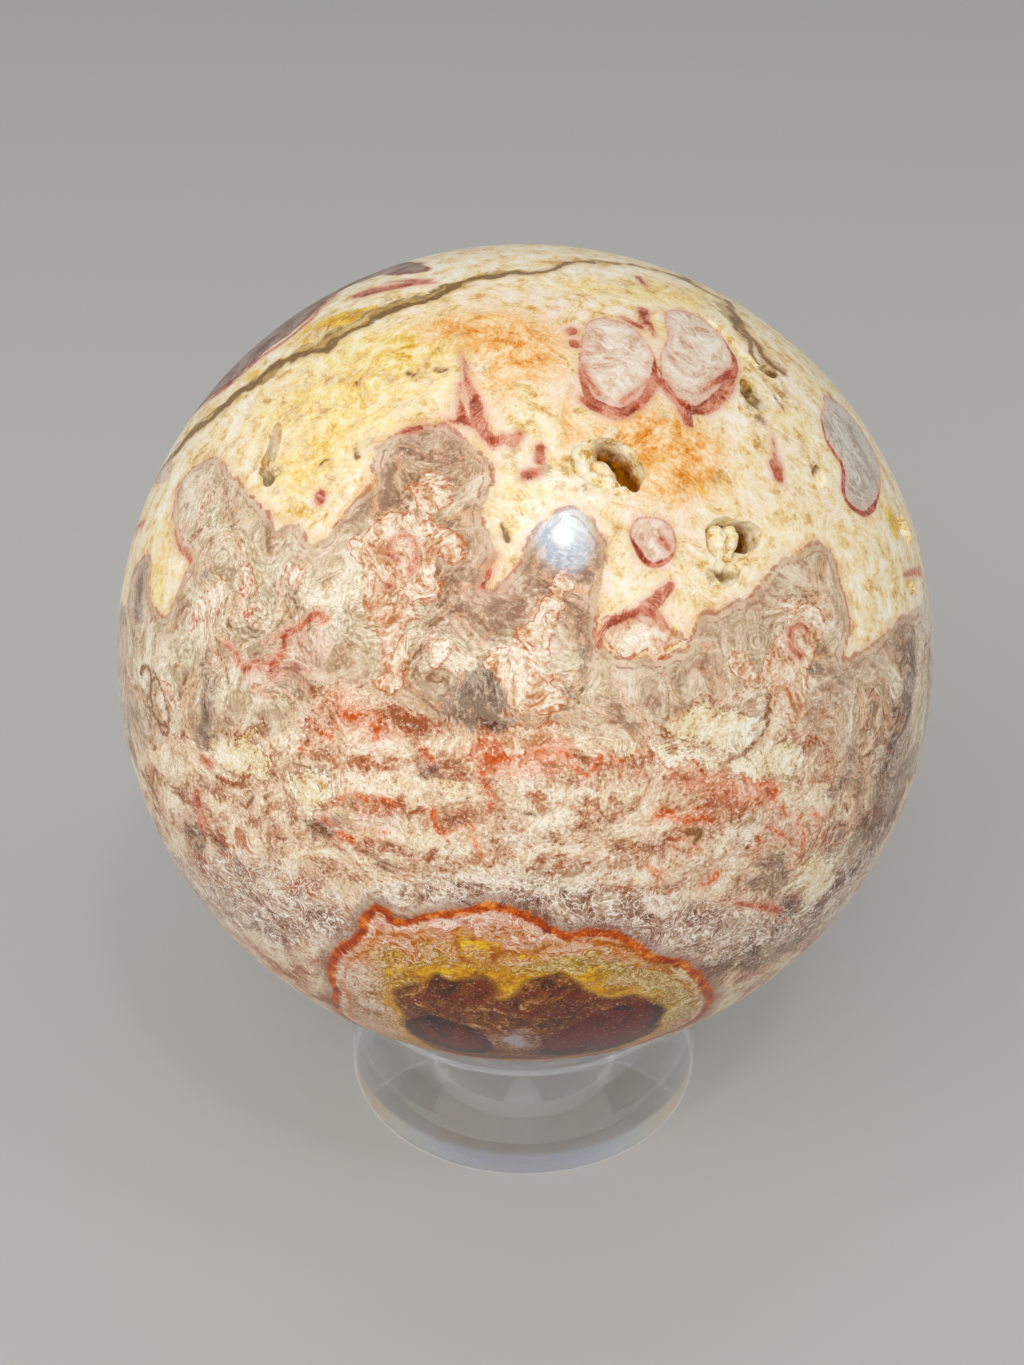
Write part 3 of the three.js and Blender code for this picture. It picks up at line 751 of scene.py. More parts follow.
# Stains with soft edges: (east, north, half width, half height, strength)
STAINS = {
    "yellow": [
        (-20, 33, 8, 7, 0.7), (-28, 27, 7, 7, 0.75), (-30, 22.4, 3, 2, 0.6), (-28, 25.6, 1.6, 1.6, 0.7),
        (-16, 39, 7, 4, 0.7), (-33, 35, 7, 6, 0.6), (-42, 31, 5, 6, 0.4), (-26, 42.5, 8, 3, 0.8),
        (-18, 41, 5, 2.4, 0.8), (-33, 21, 3, 3, 0.5), (21, 54, 8, 3, 0.8), (13, 53, 3, 2, 0.6),
        (36, 53.4, 6, 3.4, 1.0), (46, 55, 3, 2, 0.6), (23, 45, 1.6, 3, 0.9), (37, 40, 1.4, 5, 0.6),
        (54, 38.8, 3, 3, 0.8), (33, 15, 7, 4, 0.35), (43, 30, 4, 5, 0.5), (-55, 9, 2.5, 6, 0.9),
        (-57, 15, 2, 6, 0.5), (52, 14, 4, 5, 0.2), (-2, 17, 2, 6, 0.35), (3, 19.4, 5, 1.4, 0.5),
        (-60, -6, 5, 7, 0.45), (-36, -12.6, 5, 3, 0.5), (25, -5, 5, 2, 0.3), (-28, -16, 3, 2, 0.5),
        (-31, -27, 3, 4, 0.35), (14, -22, 2, 1.4, 0.5), (6, 31, 2, 2, 0.5), (100, 44, 12, 8, 0.8),
        (150, 42, 12, 9, 0.9), (196, 34, 10, 9, 0.8), (228, 40, 11, 7, 0.7), (272, 34, 10, 9, 0.8),
        (124, 30, 8, 6, 0.5), (180, 60, 14, 9, 0.5), (84, 33, 6, 5, 0.4),
    ],
    "gold": [
        (-40.6, 47.2, 4, 1.8, 1.2), (-44, 44, 4, 1.6, 0.9), (-35, 48.4, 3, 1.2, 1.1),
        (-31, 49.4, 3, 0.8, 0.8), (-59, 33.6, 5, 0.9, 0.8), (-51, 38.4, 4, 1.2, 0.7),
        (-28.6, 17, 2.3, 0.9, 1.0), (22.6, 20, 1.4, 1.2, 0.7), (-1.9, 14.2, 0.6, 1.2, 0.8),
        (-3.3, 25.8, 1.2, 0.8, 0.9), (60.6, 17.4, 2.4, 2, 1.3), (61, 9.2, 1.6, 0.8, 1.1),
        (17.4, 23.6, 0.8, 0.7, 0.7), (-8, 45.6, 3, 1.2, 0.4), (144, 47, 5, 3, 0.8),
        (222, 36, 5, 2.4, 0.9), (280, 26, 4, 3, 0.7), (108, 27, 3, 2, 0.8),
    ],
    "orange": [
        (17, 27.4, 6, 3, 1.3), (18.6, 24.6, 5.6, 4, 1.5), (21, 21.6, 4, 3.2, 1.2),
        (-13, 44.6, 5, 3, 1.1), (-6.5, 43.6, 5, 3, 1.2), (-2, 41.4, 5.6, 3.6, 1.3),
        (0, 38.6, 4, 3, 1.1), (-3.8, 34, 2.2, 4, 0.9), (0.7, 36, 3, 2.4, 0.5), (5.4, 30, 2, 3, 0.5),
        (5.6, 27, 1.6, 2.4, 0.4), (24, 26, 3.4, 2.4, 0.35), (17.6, 18.6, 2.6, 1.6, 0.35),
        (9, 19, 3, 1.2, 0.3), (38, 19.6, 1.4, 3, 0.3), (41, 16.4, 2, 3, 0.3), (-55.6, 13, 1.6, 3, 0.6),
        (-24, -26, 4, 4, 0.4), (-30.6, -24.6, 2, 3, 0.5), (-52, 28, 3, 3, 0.3), (-40, 35, 5, 1.4, 0.35),
        (156, 36, 6, 4, 0.9), (186, 28, 6, 5, 0.6), (112, 38, 7, 5, 0.6), (250, 44, 7, 4, 0.8),
        (212, 22, 4, 4, 0.6), (280, 40, 6, 5, 0.5),
    ],
    "blush": [
        (-8, 48, 9, 3, 0.6), (-4, 52, 7, 3, 0.5), (4, 46, 4, 4, 0.4), (20, 16, 5, 5, 0.5),
        (6, 20, 5, 3, 0.4), (-5, 28, 3, 3, 0.5), (30, 20, 4, 5, 0.5), (12, 30, 6, 3, 0.6),
        (44, 18, 4, 6, 0.4), (6, 41, 3.4, 4, 0.5), (6, 33, 2.6, 3, 0.6), (14, 38, 8, 9, 0.55),
        (28, 38, 8, 10, 0.55), (15.6, 13.2, 4.6, 4.6, 1.0), (35.4, 23, 1.5, 4, 0.9),
        (36, 28, 0.8, 2, 0.7), (-8, 33, 2.6, 6, 0.9), (-10, 28.6, 4, 2, 0.9), (-2, 23.6, 3, 3, 0.4),
        (15, 2.6, 6, 2.6, 0.9), (6.5, 45, 2, 2, 0.3), (-18, 27, 2, 2, 0.5), (-29, -1.4, 6, 3, 0.8),
        (-26, 1.4, 3.4, 2.4, 0.8), (-34, -4, 3, 1.6, 0.5), (47.4, 32, 1.2, 4, 0.4),
        (-56.6, 19, 0.9, 4, 0.5), (20, 32.6, 5, 1.6, 0.4), (27.6, 55.6, 2, 3, 0.5),
        (-46, 27, 8, 1, 0.3), (172, 34, 9, 9, 0.8), (184, 41, 7, 7, 0.6), (103, 34, 7, 7, 0.7),
        (144, 39, 3, 6, 0.7),
    ],
    "coral": [
        (-22, -5, 3, 1.6, 0.7), (-20, -7.4, 3.4, 2.2, 0.8), (-16.4, -9.4, 2.4, 2, 0.7),
        (-23.6, -9.6, 3, 1.6, 0.6), (-27.4, -11, 1.6, 1, 0.5), (-2.6, -10.6, 3.6, 1.1, 1.2),
        (1.6, -10.4, 3.6, 1.1, 1.1), (4.8, -10.8, 2, 1, 0.8), (-11.6, -11.6, 1.6, 2, 0.5),
        (-0.8, -12.4, 5, 1.8, 1.7), (-4.8, -14, 1, 2, 0.6), (12, -13.6, 5, 1.6, 0.55),
        (20, -15, 5, 2, 0.6), (26.4, -16, 5, 2.4, 0.9), (30.6, -16.6, 3, 2, 0.9),
        (20, -19.6, 4, 1.3, 1.0), (36, -20, 3.4, 2.4, 0.4), (41, -21.4, 2, 1.6, 0.6),
        (34.6, -24, 3, 2.4, 0.4), (21.2, -23.2, 1.6, 1, 0.9), (-18.4, -18, 3.4, 1.6, 0.7),
        (-20, -21, 4, 1.6, 0.5), (-8.6, -20.8, 2.6, 1.2, 0.4), (17, -26.4, 1.4, 0.9, 0.6),
        (25.6, -27.6, 1.8, 1.2, 0.7), (45.6, -15, 1, 4, 0.4), (-9, -7.4, 2, 0.8, 0.4),
        (150, -12, 8, 3, 0.8), (172, -13, 8, 3, 0.9), (128, -18, 8, 3, 0.6), (90, -15, 8, 4, 0.6),
        (222, -15, 8, 3, 0.8), (250, -15, 8, 3, 0.7), (282, -16, 7, 4, 0.5),
    ],
    "rust": [
        (-46.2, -24.8, 1.8, 1.8, 1.2), (-41.6, -23.6, 1.4, 2, 1.0), (-38.4, -21.2, 0.9, 0.9, 0.8),
        (-49, -20.6, 1, 2.4, 1.1), (-44.2, -13.2, 1.2, 1.2, 0.9), (36, -32.6, 4, 0.9, 0.9),
        (-21.6, -23, 2, 0.8, 0.5), (-41.4, 5, 0.9, 0.9, 0.6), (-50, -1.8, 2.6, 1.3, 0.7),
        (40, -7.4, 2.4, 1.4, 0.6), (38.6, -4, 2, 1.6, 0.5), (31, -3, 2, 2, 0.4), (-61, -19, 2, 3, 0.5),
        (12, -15, 6, 0.9, 0.45), (-4.6, -16, 0.7, 2, 0.5), (29, -7.6, 0.8, 2, 0.4),
        (57, -5, 0.8, 2.4, 0.5), (60, -12, 0.8, 2.4, 0.5), (24, -8, 1.4, 0.8, 0.3),
        (140, -27, 5, 2, 0.8), (196, -25, 4, 3, 0.9), (238, -28, 5, 2, 0.8), (104, -26, 4, 2, 0.7),
        (-31, 57.4, 7, 1.6, 1.0), (-42, 55, 3, 2, 0.7),
    ],
    # Darker patches: in the plumes, round the back, and tall narrow ones low down along the east and west
    # edges of the face.
    "dark": [
        (-5.6, -5, 2.8, 2.8, 1.5), (-8.4, -6.6, 2.4, 1.4, 0.9), (-3.6, -3.4, 1.4, 2, 0.6),
        (-3.4, -7.4, 1.8, 1.4, 1.2), (-43, -8.6, 1.8, 4, 0.9), (-41.6, -2.6, 1.6, 4, 0.7),
        (-44.8, -10.6, 1.4, 2, 0.8), (-38, 9.4, 2, 2.4, 0.55), (-43.6, 10, 2.4, 1.4, 0.6),
        (-14.6, -6.8, 1.6, 0.8, 0.9), (6.8, 1.4, 1.3, 2, 0.9), (6.6, -2.6, 1.6, 2.4, 0.5),
        (10.4, -7, 2, 0.8, 0.4), (-4.6, 3, 2, 3, 0.25), (37, -1.6, 1.8, 1, 0.8),
        (42.6, -1.8, 3.4, 1.4, 0.9), (32, 7.6, 2, 2.4, 0.4), (41.4, 6.4, 0.9, 3.6, 0.5),
        (45.6, -12.4, 1.4, 4.4, 0.9), (44, -17.2, 1.4, 2, 0.7), (57, -12, 3, 8, 1.2),
        (60, -2, 2, 6, 1.0), (56, 4, 3, 4, 0.9), (64, -20, 5, 9, 1.2), (54, -24, 3, 4, 0.9),
        (48, -39, 5, 4, 1.1), (58, -34, 5, 7, 1.1), (35.6, -25.6, 2.4, 1.4, 0.9),
        (37.8, -28.4, 2.4, 1.6, 1.0), (34, -29, 2, 1, 0.7), (44, -33.4, 3.4, 1.6, 0.9),
        (40, -42, 7, 4, 1.3), (40.4, -31, 4, 1.6, 0.5), (-53, -24, 4, 3, 0.6), (39.8, -14.6, 2, 4, 0.5),
        (-27, -21.2, 2, 1.8, 0.8), (-24.6, -21.4, 2, 1.4, 0.6), (-22, -19.6, 3, 1.2, 0.4),
        (-10.6, -13, 1.3, 1.8, 0.7), (-12, -14, 1, 1, 0.6), (-18.4, -25.4, 3, 1.4, 0.6),
        (-61.4, 9, 2.4, 3.6, 1.0), (-61, 5, 2, 1.4, 0.7), (-68, -2, 2, 8, 0.6), (-70, -14, 2, 5, 0.9),
        (-14.6, 25.4, 3.4, 1.8, 0.5), (-16.4, 24, 2, 1.4, 0.4), (-8.6, 22.6, 0.8, 0.8, 0.4),
        (-8, 19.8, 0.7, 0.7, 0.4), (31, -12.4, 1, 4, 0.3), (47.6, -24, 2, 4, 0.7),
        (-55, -27, 3, 4, 0.4), (140, 2, 4, 6, 0.6), (168, -6, 5, 3, 0.9), (196, 2, 4, 5, 0.6),
        (120, 2, 3, 6, 0.6), (90, -4, 4, 5, 0.6), (224, 0, 4, 6, 0.6), (252, -6, 5, 3, 0.9),
        (276, 2, 4, 6, 0.5),
    ],
    "lilac": [
        (-10, -29.6, 8, 2, 1.0), (-1, -29.4, 6, 2.4, 1.0), (8, -31.6, 8, 3, 1.0),
        (17, -34.4, 7, 3, 1.0), (28, -37, 9, 4.6, 0.8), (40, -38, 8, 6, 0.35),
        (-20, -30.4, 3, 1.4, 0.6), (-30, -34.6, 5, 4, 0.6), (-40, -36, 8, 6, 0.7),
        (-52, -34, 8, 8, 0.6), (-36, -28, 5, 3, 0.4), (-18, -20, 4, 2, 0.5), (24, -25, 4, 2.4, 0.4),
        (30.6, -22.6, 2.4, 2, 0.5), (-12, -12.6, 1.6, 2, 0.4), (58, -34, 8, 8, 0.7),
        (-46, -29, 4, 3, 0.4), (90, -34, 16, 9, 0.8), (130, -38, 16, 9, 0.8), (170, -36, 16, 8, 0.8),
        (210, -36, 16, 9, 0.8), (250, -34, 16, 9, 0.8), (285, -34, 12, 9, 0.7), (16, -1.6, 5, 2.4, 0.6),
        (-6, 1, 3, 3, 0.3),
    ],
    "white": [
        (-38, -31, 2.4, 2, 0.8), (-19.4, -28.8, 2, 1, 1.0), (-12, -27.4, 5, 1, 0.6),
        (-3, -26.6, 6, 1.4, 0.7), (5, -28, 6, 1.4, 0.7), (0, -22, 8, 2.4, 0.6), (10, -26, 6, 2, 0.5),
        (3, -16, 6, 2, 0.6), (-34, -8.6, 3, 1, 0.9), (30, -21, 4, 2, 0.5), (35, -20.6, 5, 2.4, 1.2),
        (-10, -23.5, 4, 2, 0.5), (28.6, -5.4, 4, 2.4, 1.1), (50, 4, 3, 1.6, 0.3), (56, 10, 3, 5, 0.4),
        (48, 8, 4, 3, 0.4), (30, 26, 4, 3, 0.5), (27.4, 24.6, 1.4, 1.2, 0.9), (34, 30.2, 3, 1, 0.8),
        (2.8, 34.6, 1.6, 1.8, 0.8), (-2, 20, 2.4, 3, 0.35), (9, 27.6, 4, 1, 0.7), (6.6, 24, 1, 3, 0.6),
        (7, 50.4, 4, 3, 1.0), (-36, 27, 2, 4, 0.4), (-38, 39, 5, 2, 0.35), (-60, 22, 3, 6, 0.3),
        (-49, 20, 5, 4, 0.9), (-44, 16, 3, 2, 0.4), (14, 58, 8, 2, 0.8), (-20, 56, 5, 1.6, 0.8),
        (38, 61.6, 5, 1.6, 0.5), (-9.6, -5, 0.6, 2.2, 1.0), (-7, -1, 0.8, 0.8, 0.8),
        (-31, 13, 2.4, 1.2, 0.6), (-37, 4, 2, 3, 0.35), (-43, 32.6, 4, 0.8, 0.6), (52, -13, 2, 4, 0.5),
        (45, -26, 3, 2, 0.3), (150, -22, 10, 4, 0.5), (200, -20, 8, 4, 0.6), (250, -24, 9, 4, 0.6),
        (100, -22, 8, 4, 0.6),
    ],
    "umber": [
        (47, 50, 2, 3, 1.0), (45.6, 45, 1, 4, 0.9), (46, 40, 2, 1.6, 1.2), (35, 33.6, 1.3, 2.2, 1.2),
        (34.4, 30.6, 1.6, 1, 0.8), (44.2, 35.6, 0.8, 1.2, 1.0), (42.6, 23.6, 1, 1.2, 0.9),
        (-36.6, 25.6, 1.4, 4, 0.35), (-35, 22.4, 1.2, 1.2, 0.9), (-28.4, 17, 2, 0.6, 0.7),
        (-14.2, 36.4, 1.2, 0.6, 0.9), (-10, 36.9, 2, 0.5, 0.5), (-27, 35.4, 1, 0.8, 0.5),
        (24.6, 9.6, 2.4, 0.8, 0.7), (22.4, 8.8, 1, 1, 0.8), (61.6, 8.9, 1, 1, 0.8),
        (7.4, 19.4, 1.6, 0.6, 0.5), (2, 21.6, 2, 1.2, 0.5), (-3.4, 25.8, 0.8, 0.8, 0.8),
    ],
    "green": [
        (-60, -6, 6, 11, 0.8), (-66, -16, 5, 8, 0.7), (-68, 10, 2, 6, 0.5), (-49, -16, 3, 3, 0.4),
        (-48, -30, 6, 4, 0.3), (96, -6, 6, 6, 0.4), (240, -4, 6, 6, 0.4),
    ],
    "olive": [(20, -43, 8, 2.4, 1.0), (30, -47, 5, 3, 1.0), (38, -53, 5, 4, 1.0), (8, -41.4, 5, 1.2, 0.9)],
    "ash": [
        (-36, -49, 5, 6, 1.0), (-31, -46, 3, 3, 0.8), (-42, -57, 5, 5, 0.9), (33, -44, 3, 1.4, 0.6),
        (2, -37.4, 4, 0.8, 0.7), (40, -50, 3, 2, 0.6),
    ],
    "bright": [
        (-19, -43.9, 3, 1, 1.1), (-13, -42.6, 3, 0.9, 1.0), (-8, -43.4, 2.4, 1, 1.0),
        (-3.6, -44.6, 1.6, 2.2, 1.1), (-4.6, -47, 1, 1.6, 0.9), (0.4, -43.4, 1.6, 1, 0.8),
        (12, -43.6, 2, 1.4, 0.9), (16.4, -46.6, 3, 1, 1.0), (-27.6, -51, 1, 3, 0.8),
        (-5.9, -37.3, 1.8, 0.9, 0.6), (1, -39.4, 1.6, 0.5, 0.7), (-10, -36.6, 1, 1.4, 0.6),
    ],
    "fawn": [
        (-14, 25.4, 4, 3, 0.9), (-9, 22, 3, 4, 0.5), (-3.4, 6, 2, 4, 0.4), (27, 3, 4, 3, 0.5),
        (22, -1, 3, 3, 0.4), (12, -6, 5, 1.6, 0.8), (36, 9.6, 3, 2, 0.4), (40.6, -4.4, 4, 3, 0.6),
        (37, -7, 3, 3, 0.6), (47, -1, 3, 1.6, 0.5), (5, 8, 8, 6, 1.1), (-7, 9, 5, 5, 0.9),
        (-12, 3, 4, 3, 0.5), (-5, -5, 4, 3, 0.6), (16, -2, 5, 2, 0.4), (-50, 3, 4, 3, 0.3),
        (8, -15, 7, 1.6, 0.7), (-1.6, -7.6, 3, 1.4, 0.6), (52, -2, 5, 3, 0.4),
    ],
}

# Vugs: hollows less the knobs of crystals grown into them. Each is (east, north, out, half sizes, turn)
# in the frame at the vug, and a hollow's third half size is its depth.
VUGS = {
    "main": {
        "at": (10.5, 22.5),
        "hollows": [
            (-0.8, 0.1, 0, (3.5, 2.9, 1.5), -25),
            (0.7, 0.5, -0.3, (3.2, 2.5, 2.6), -42),
            (1.7, 0.7, -1.5, (3.3, 1.5, 4.6), -50),
            (2.7, -1.5, -0.6, (1.0, 1.6, 4.4), -10),
        ],
        "knobs": [
            (-1.5, -1.2, -2.5, (2.0, 1.5, 1.5), 0),
            (0.2, -1.9, -2.5, (1.8, 1.4, 1.7), -40),
            (-0.2, 0.4, -3.2, (2.0, 1.2, 1.6), -40),
        ],
    },
    "square": {
        "at": (26.2, 13.2),
        "hollows": [
            (-0.9, 0.2, 0, (2.9, 2.7, 3.2), 8),
            (2.0, 0.9, -0.8, (1.3, 1.7, 6.5), 16),
            (1.2, 1.6, -0.6, (2.4, 0.9, 4.0), -8),
            (-1.4, -3.0, 0, (1.7, 1.8, 2.2), 0),
        ],
        "knobs": [
            (-1.7, 0.6, -1.6, (1.3, 1.7, 1.6), 0),
            (0.1, 0.8, -1.9, (1.0, 1.5, 1.7), 0),
            (-1.0, -1.2, -2.4, (1.4, 1.2, 1.5), 0),
            (-1.9, -3.0, -2.3, (1.0, 1.1, 1.1), 0),
        ],
    },
    "slit": {
        "at": (-37, 25),
        "hollows": [
            (0.2, 1.6, 0, (1.0, 2.7, 3.2), 14),
            (0.3, -1.2, 0, (1.1, 1.8, 3.4), 8),
            (1.3, -3.4, 0, (1.1, 0.7, 2.0), -30),
        ],
        "knobs": [(-0.5, 0.2, -2.2, (0.8, 2.2, 1.3), 10)],
    },
    "cleft": {
        "at": (38.6, 41),
        "hollows": [
            (-0.5, 3.4, 0, (0.7, 3.2, 2.2), 14),
            (0.5, -0.6, 0, (0.8, 2.0, 2.0), 34),
            (3.2, -2.2, 0, (1.5, 1.1, 2.4), -12),
        ],
        "knobs": [],
    },
    "nook": {
        "at": (35.6, 33.4),
        "hollows": [
            (-0.5, 0.9, 0, (0.9, 2.0, 1.9), -16),
            (0.2, -0.9, 0, (1.3, 1.0, 2.6), -20),
            (5.4, 1.0, 0, (0.8, 1.0, 1.7), 0),
        ],
        "knobs": [],
    },
    "dimple": {"at": (43, 22.4), "hollows": [(0, 0, 0, (1.2, 1.5, 1.2), 10)], "knobs": []},
    "cup": {
        "at": (65.5, 16.8),
        "hollows": [(0, 0, 0, (1.9, 2.1, 2.2), 0), (-2.4, 0.4, 0, (0.7, 1.6, 1.6), 0)],
        "knobs": [],
    },
    "notch": {"at": (61.8, 8.9), "hollows": [(0, 0, 0, (1.6, 0.9, 1.9), 12)], "knobs": []},
    "back_hollow": {
        "at": (158, 27),
        "hollows": [(-1.6, 0.2, 0, (3.6, 2.4, 3.2), 15), (2.2, 1.0, 0, (2.2, 2.6, 5.2), -15)],
        "knobs": [(-2.2, -0.9, -2.8, (1.8, 1.4, 1.5), 0), (-0.4, -1.3, -3.0, (1.5, 1.3, 1.6), 0)],
    },
    "back_slot": {
        "at": (-128, 33),
        "hollows": [(-1.0, 0.6, 0, (2.6, 1.2, 3.0), 24), (1.8, -0.6, 0, (1.7, 1.3, 3.6), -10)],
        "knobs": [],
    },
    "side_hollow": {
        "at": (112, 19),
        "hollows": [(0, 0, 0, (2.3, 2.9, 3.6), 18), (0.8, -2.8, 0, (1.3, 1.2, 2.2), 0)],
        "knobs": [(-0.7, 0.8, -2.7, (1.2, 1.5, 1.4), 0)],
    },
}


# The stone's shape


def apply_modifiers(piece):
    bpy.context.view_layer.objects.active = piece
    for modifier in list(piece.modifiers):
        bpy.ops.object.modifier_apply(modifier=modifier.name)


def join(pieces):
    bpy.ops.object.select_all(action="DESELECT")
    for piece in pieces:
        piece.select_set(True)
    bpy.context.view_layer.objects.active = pieces[0]
    if len(pieces) > 1:
        bpy.ops.object.join()
    bpy.ops.object.select_all(action="DESELECT")
    return bpy.context.view_layer.objects.active


def place_mesh(piece, matrix):
    """Moves a piece's points, so that its object stays at the origin."""
    piece.data.transform(matrix @ piece.matrix_basis)
    piece.matrix_basis = Matrix.Identity(4)


def fuse(piece):
    """Melts overlapping lumps into one skin."""
    melt = piece.modifiers.new("melt", "REMESH")
    melt.mode = "VOXEL"
    melt.voxel_size = LUMP_VOXEL * MM
    melt.use_smooth_shade = True
    apply_modifiers(piece)


def lumps(shapes, relief_size):
    """Uneven ellipsoids melted into one body, in the frame of a vug."""
    made = []
    for east, north, out, sizes, turn in shapes:
        bpy.ops.mesh.primitive_ico_sphere_add(subdivisions=LUMP_SUBDIVISIONS, radius=MM)
        lump = bpy.context.object
        lump.scale = sizes
        lump.rotation_euler.z = math.radians(turn)
        lump.location = Vector((east, north, out)) * MM
        place_mesh(lump, Matrix.Identity(4))
        made.append(lump)
    body = join(made)
    fuse(body)
    clouds = bpy.data.textures.new("knobbly", "CLOUDS")
    clouds.noise_scale = relief_size * MM
    clouds.noise_depth = 3
    relief = body.modifiers.new("relief", "DISPLACE")
    relief.texture = clouds
    relief.strength = LUMP_RELIEF * MM
    relief.mid_level = 0.5
    apply_modifiers(body)
    fuse(body)
    return body


def cut(piece, tool):
    boolean = piece.modifiers.new("cut", "BOOLEAN")
    boolean.object = tool
    boolean.operation = "DIFFERENCE"
    boolean.solver = "EXACT"
    apply_modifiers(piece)
    bpy.data.objects.remove(tool)


def vug_cutter(vug):
    cutter = lumps(vug["hollows"], HOLLOW_RELIEF_SIZE)
    if vug["knobs"]:
        cut(cutter, lumps(vug["knobs"], KNOB_RELIEF_SIZE))
    place_mesh(cutter, frame_at(*vug["at"]))
    return cutter


def stone_ball():
    """A round ball with finer faces around the middle of its face."""
    bpy.ops.mesh.primitive_ico_sphere_add(
        subdivisions=BALL_SUBDIVISIONS, radius=STONE_RADIUS * MM, location=STONE_CENTRE
    )
    ball = bpy.context.object
    ball.name = "patterned_stone"
    place_mesh(ball, Matrix.Identity(4))
    facing = world_direction(0, 0)
    limit = math.cos(math.radians(FINE_ANGLE))
    bpy.context.tool_settings.mesh_select_mode = (False, False, True)
    bpy.ops.object.mode_set(mode="EDIT")
    bpy.ops.mesh.select_all(action="DESELECT")
    bpy.ops.object.mode_set(mode="OBJECT")
    near = [polygon.normal.dot(facing) > limit for polygon in ball.data.polygons]
    ball.data.polygons.foreach_set("select", near)
    bpy.ops.object.mode_set(mode="EDIT")
    bpy.ops.mesh.subdivide(number_cuts=FINE_CUTS)
    bpy.ops.object.mode_set(mode="OBJECT")
    for vertex in ball.data.vertices:
        vertex.co = STONE_CENTRE + (vertex.co - STONE_CENTRE).normalized() * STONE_RADIUS * MM
    return ball


def points_of(piece):
    flat = np.empty(len(piece.data.vertices) * 3)
    piece.data.vertices.foreach_get("co", flat)
    return flat.reshape(-1, 3)


# Reading the picture's features into values on the stone's points


def smooth_path(places, closed):
    """Directions along a smooth curve through places on the stone."""
    knots = direction(*np.array(places, float).T)
    if closed:
        knots = np.vstack([knots[-1:], knots, knots[:2]])
    else:
        knots = np.vstack([2 * knots[0] - knots[1], knots, 2 * knots[-1] - knots[-2]])
    share = np.linspace(0, 1, CURVE_STEPS, endpoint=False)[:, None]
    spans = []
    for before, start, end, after in zip(knots[:-3], knots[1:-2], knots[2:-1], knots[3:]):
        curve = (
            2 * start
            + (end - before) * share
            + (2 * before - 5 * start + 4 * end - after) * share**2
            + (3 * start - before - 3 * end + after) * share**3
        )
        spans.append(curve / 2)
    path = np.vstack(spans + [knots[-2][None]])
    return unit(path)


def gap_to_path(path, places, widths=(0, 0)):
    """Millimetres from each place to a path, less the path's half width there."""
    nearest = np.full(len(places), np.inf)
    swell = np.linspace(*widths, len(path))
    for start, end, thick, thicker in zip(path[:-1], path[1:], swell[:-1], swell[1:]):
        along = end - start
        offset = places - start
        share = np.clip(offset @ along / max(along @ along, 1e-12), 0, 1)
        gap = np.linalg.norm(offset - share[:, None] * along, axis=1) * STONE_RADIUS
        nearest = np.minimum(nearest, gap - thick - share * (thicker - thick))
    return nearest


def within(path, places):
    """Whether each place lies in a closed path, by counting crossings on a flat map around its middle."""
    middle = unit(path.mean(0))
    east = unit(np.cross([0.0, 0.0, 1.0], middle))
    north = np.cross(middle, east)

    def flat(vectors):
        across = np.stack([vectors @ east, vectors @ north], axis=-1)
        size = np.linalg.norm(across, axis=-1, keepdims=True) + 1e-12
        return across / size * np.arccos(np.clip(vectors @ middle, -1, 1))[:, None]

    spots = flat(places)
    corners = flat(path)
    inside = np.zeros(len(places), bool)
    for (x0, y0), (x1, y1) in zip(corners, np.roll(corners, -1, axis=0)):
        if y0 == y1:
            continue
        crosses = (y0 > spots[:, 1]) != (y1 > spots[:, 1])
        inside ^= crosses & (spots[:, 0] < (x1 - x0) * (spots[:, 1] - y0) / (y1 - y0) + x0)
    return inside


def nearby(path, places):
    """Which places lie within reach of a path, roughly."""
    middle = unit(path.mean(0))
    spread = np.arccos(np.clip((path @ middle).min(), -1, 1)) + REACH / STONE_RADIUS
    return places @ middle > math.cos(min(spread, math.pi))


def line_depth(places, line, widths):
    """Millimetres inside a drawn line; negative outside it."""
    path = smooth_path(line, closed=False)
    depth = np.full(len(places), -float(REACH))
    close = nearby(path, places)
    depth[close] = np.maximum(-gap_to_path(path, places[close], widths), -REACH)
    return depth


def outline_depth(places, outline):
    """Millimetres inside a closed outline; negative outside it."""
    path = smooth_path(outline, closed=True)
    depth = np.full(len(places), -float(REACH))
    close = nearby(path, places)
    gap = gap_to_path(path, places[close])
    depth[close] = np.where(within(path, places[close]), gap, -np.minimum(gap, REACH))
    return depth


def stain(places, blobs):
    total = np.zeros(len(places))
    for east, north, width, height, strength in blobs:
        out = direction(east, north)
        side = unit(np.cross([0.0, 0.0, 1.0], out))
        up = np.cross(out, side)
        across = places @ side * STONE_RADIUS / width
        along = places @ up * STONE_RADIUS / height
        facing = places @ out > 0
        total += np.where(facing, strength * np.exp(-(across**2) - along**2), 0)
    return total


def nodule_fields(places):
    """How deep each place is in a nodule, how thick its rim is there, and how grey it is."""
    depth = np.full(len(places), -float(REACH))
    rim = np.zeros(len(places))
    grey = np.zeros(len(places))
    for outline, thin, thick, side, greyness in NODULES.values():
        own = outline_depth(places, outline)
        middle = unit(smooth_path(outline, closed=True).mean(0))
        east = unit(np.cross([0.0, 0.0, 1.0], middle))
        north = np.cross(middle, east)
        heavy = math.cos(math.radians(side)) * east + math.sin(math.radians(side)) * north
        flat = places - (places @ middle)[:, None] * middle
        lean = flat @ heavy / (np.linalg.norm(flat, axis=1) + 1e-9)
        own_rim = thin + (thick - thin) * np.clip(0.35 + lean * 0.9, 0, 1) ** 1.5
        closer = own > depth
        depth = np.where(closer, own, depth)
        rim = np.where(closer, own_rim, rim)
        grey = np.where(closer, greyness, grey)
    return depth, rim, grey


def deepest(depths):
    return np.max(np.stack(list(depths)), axis=0)


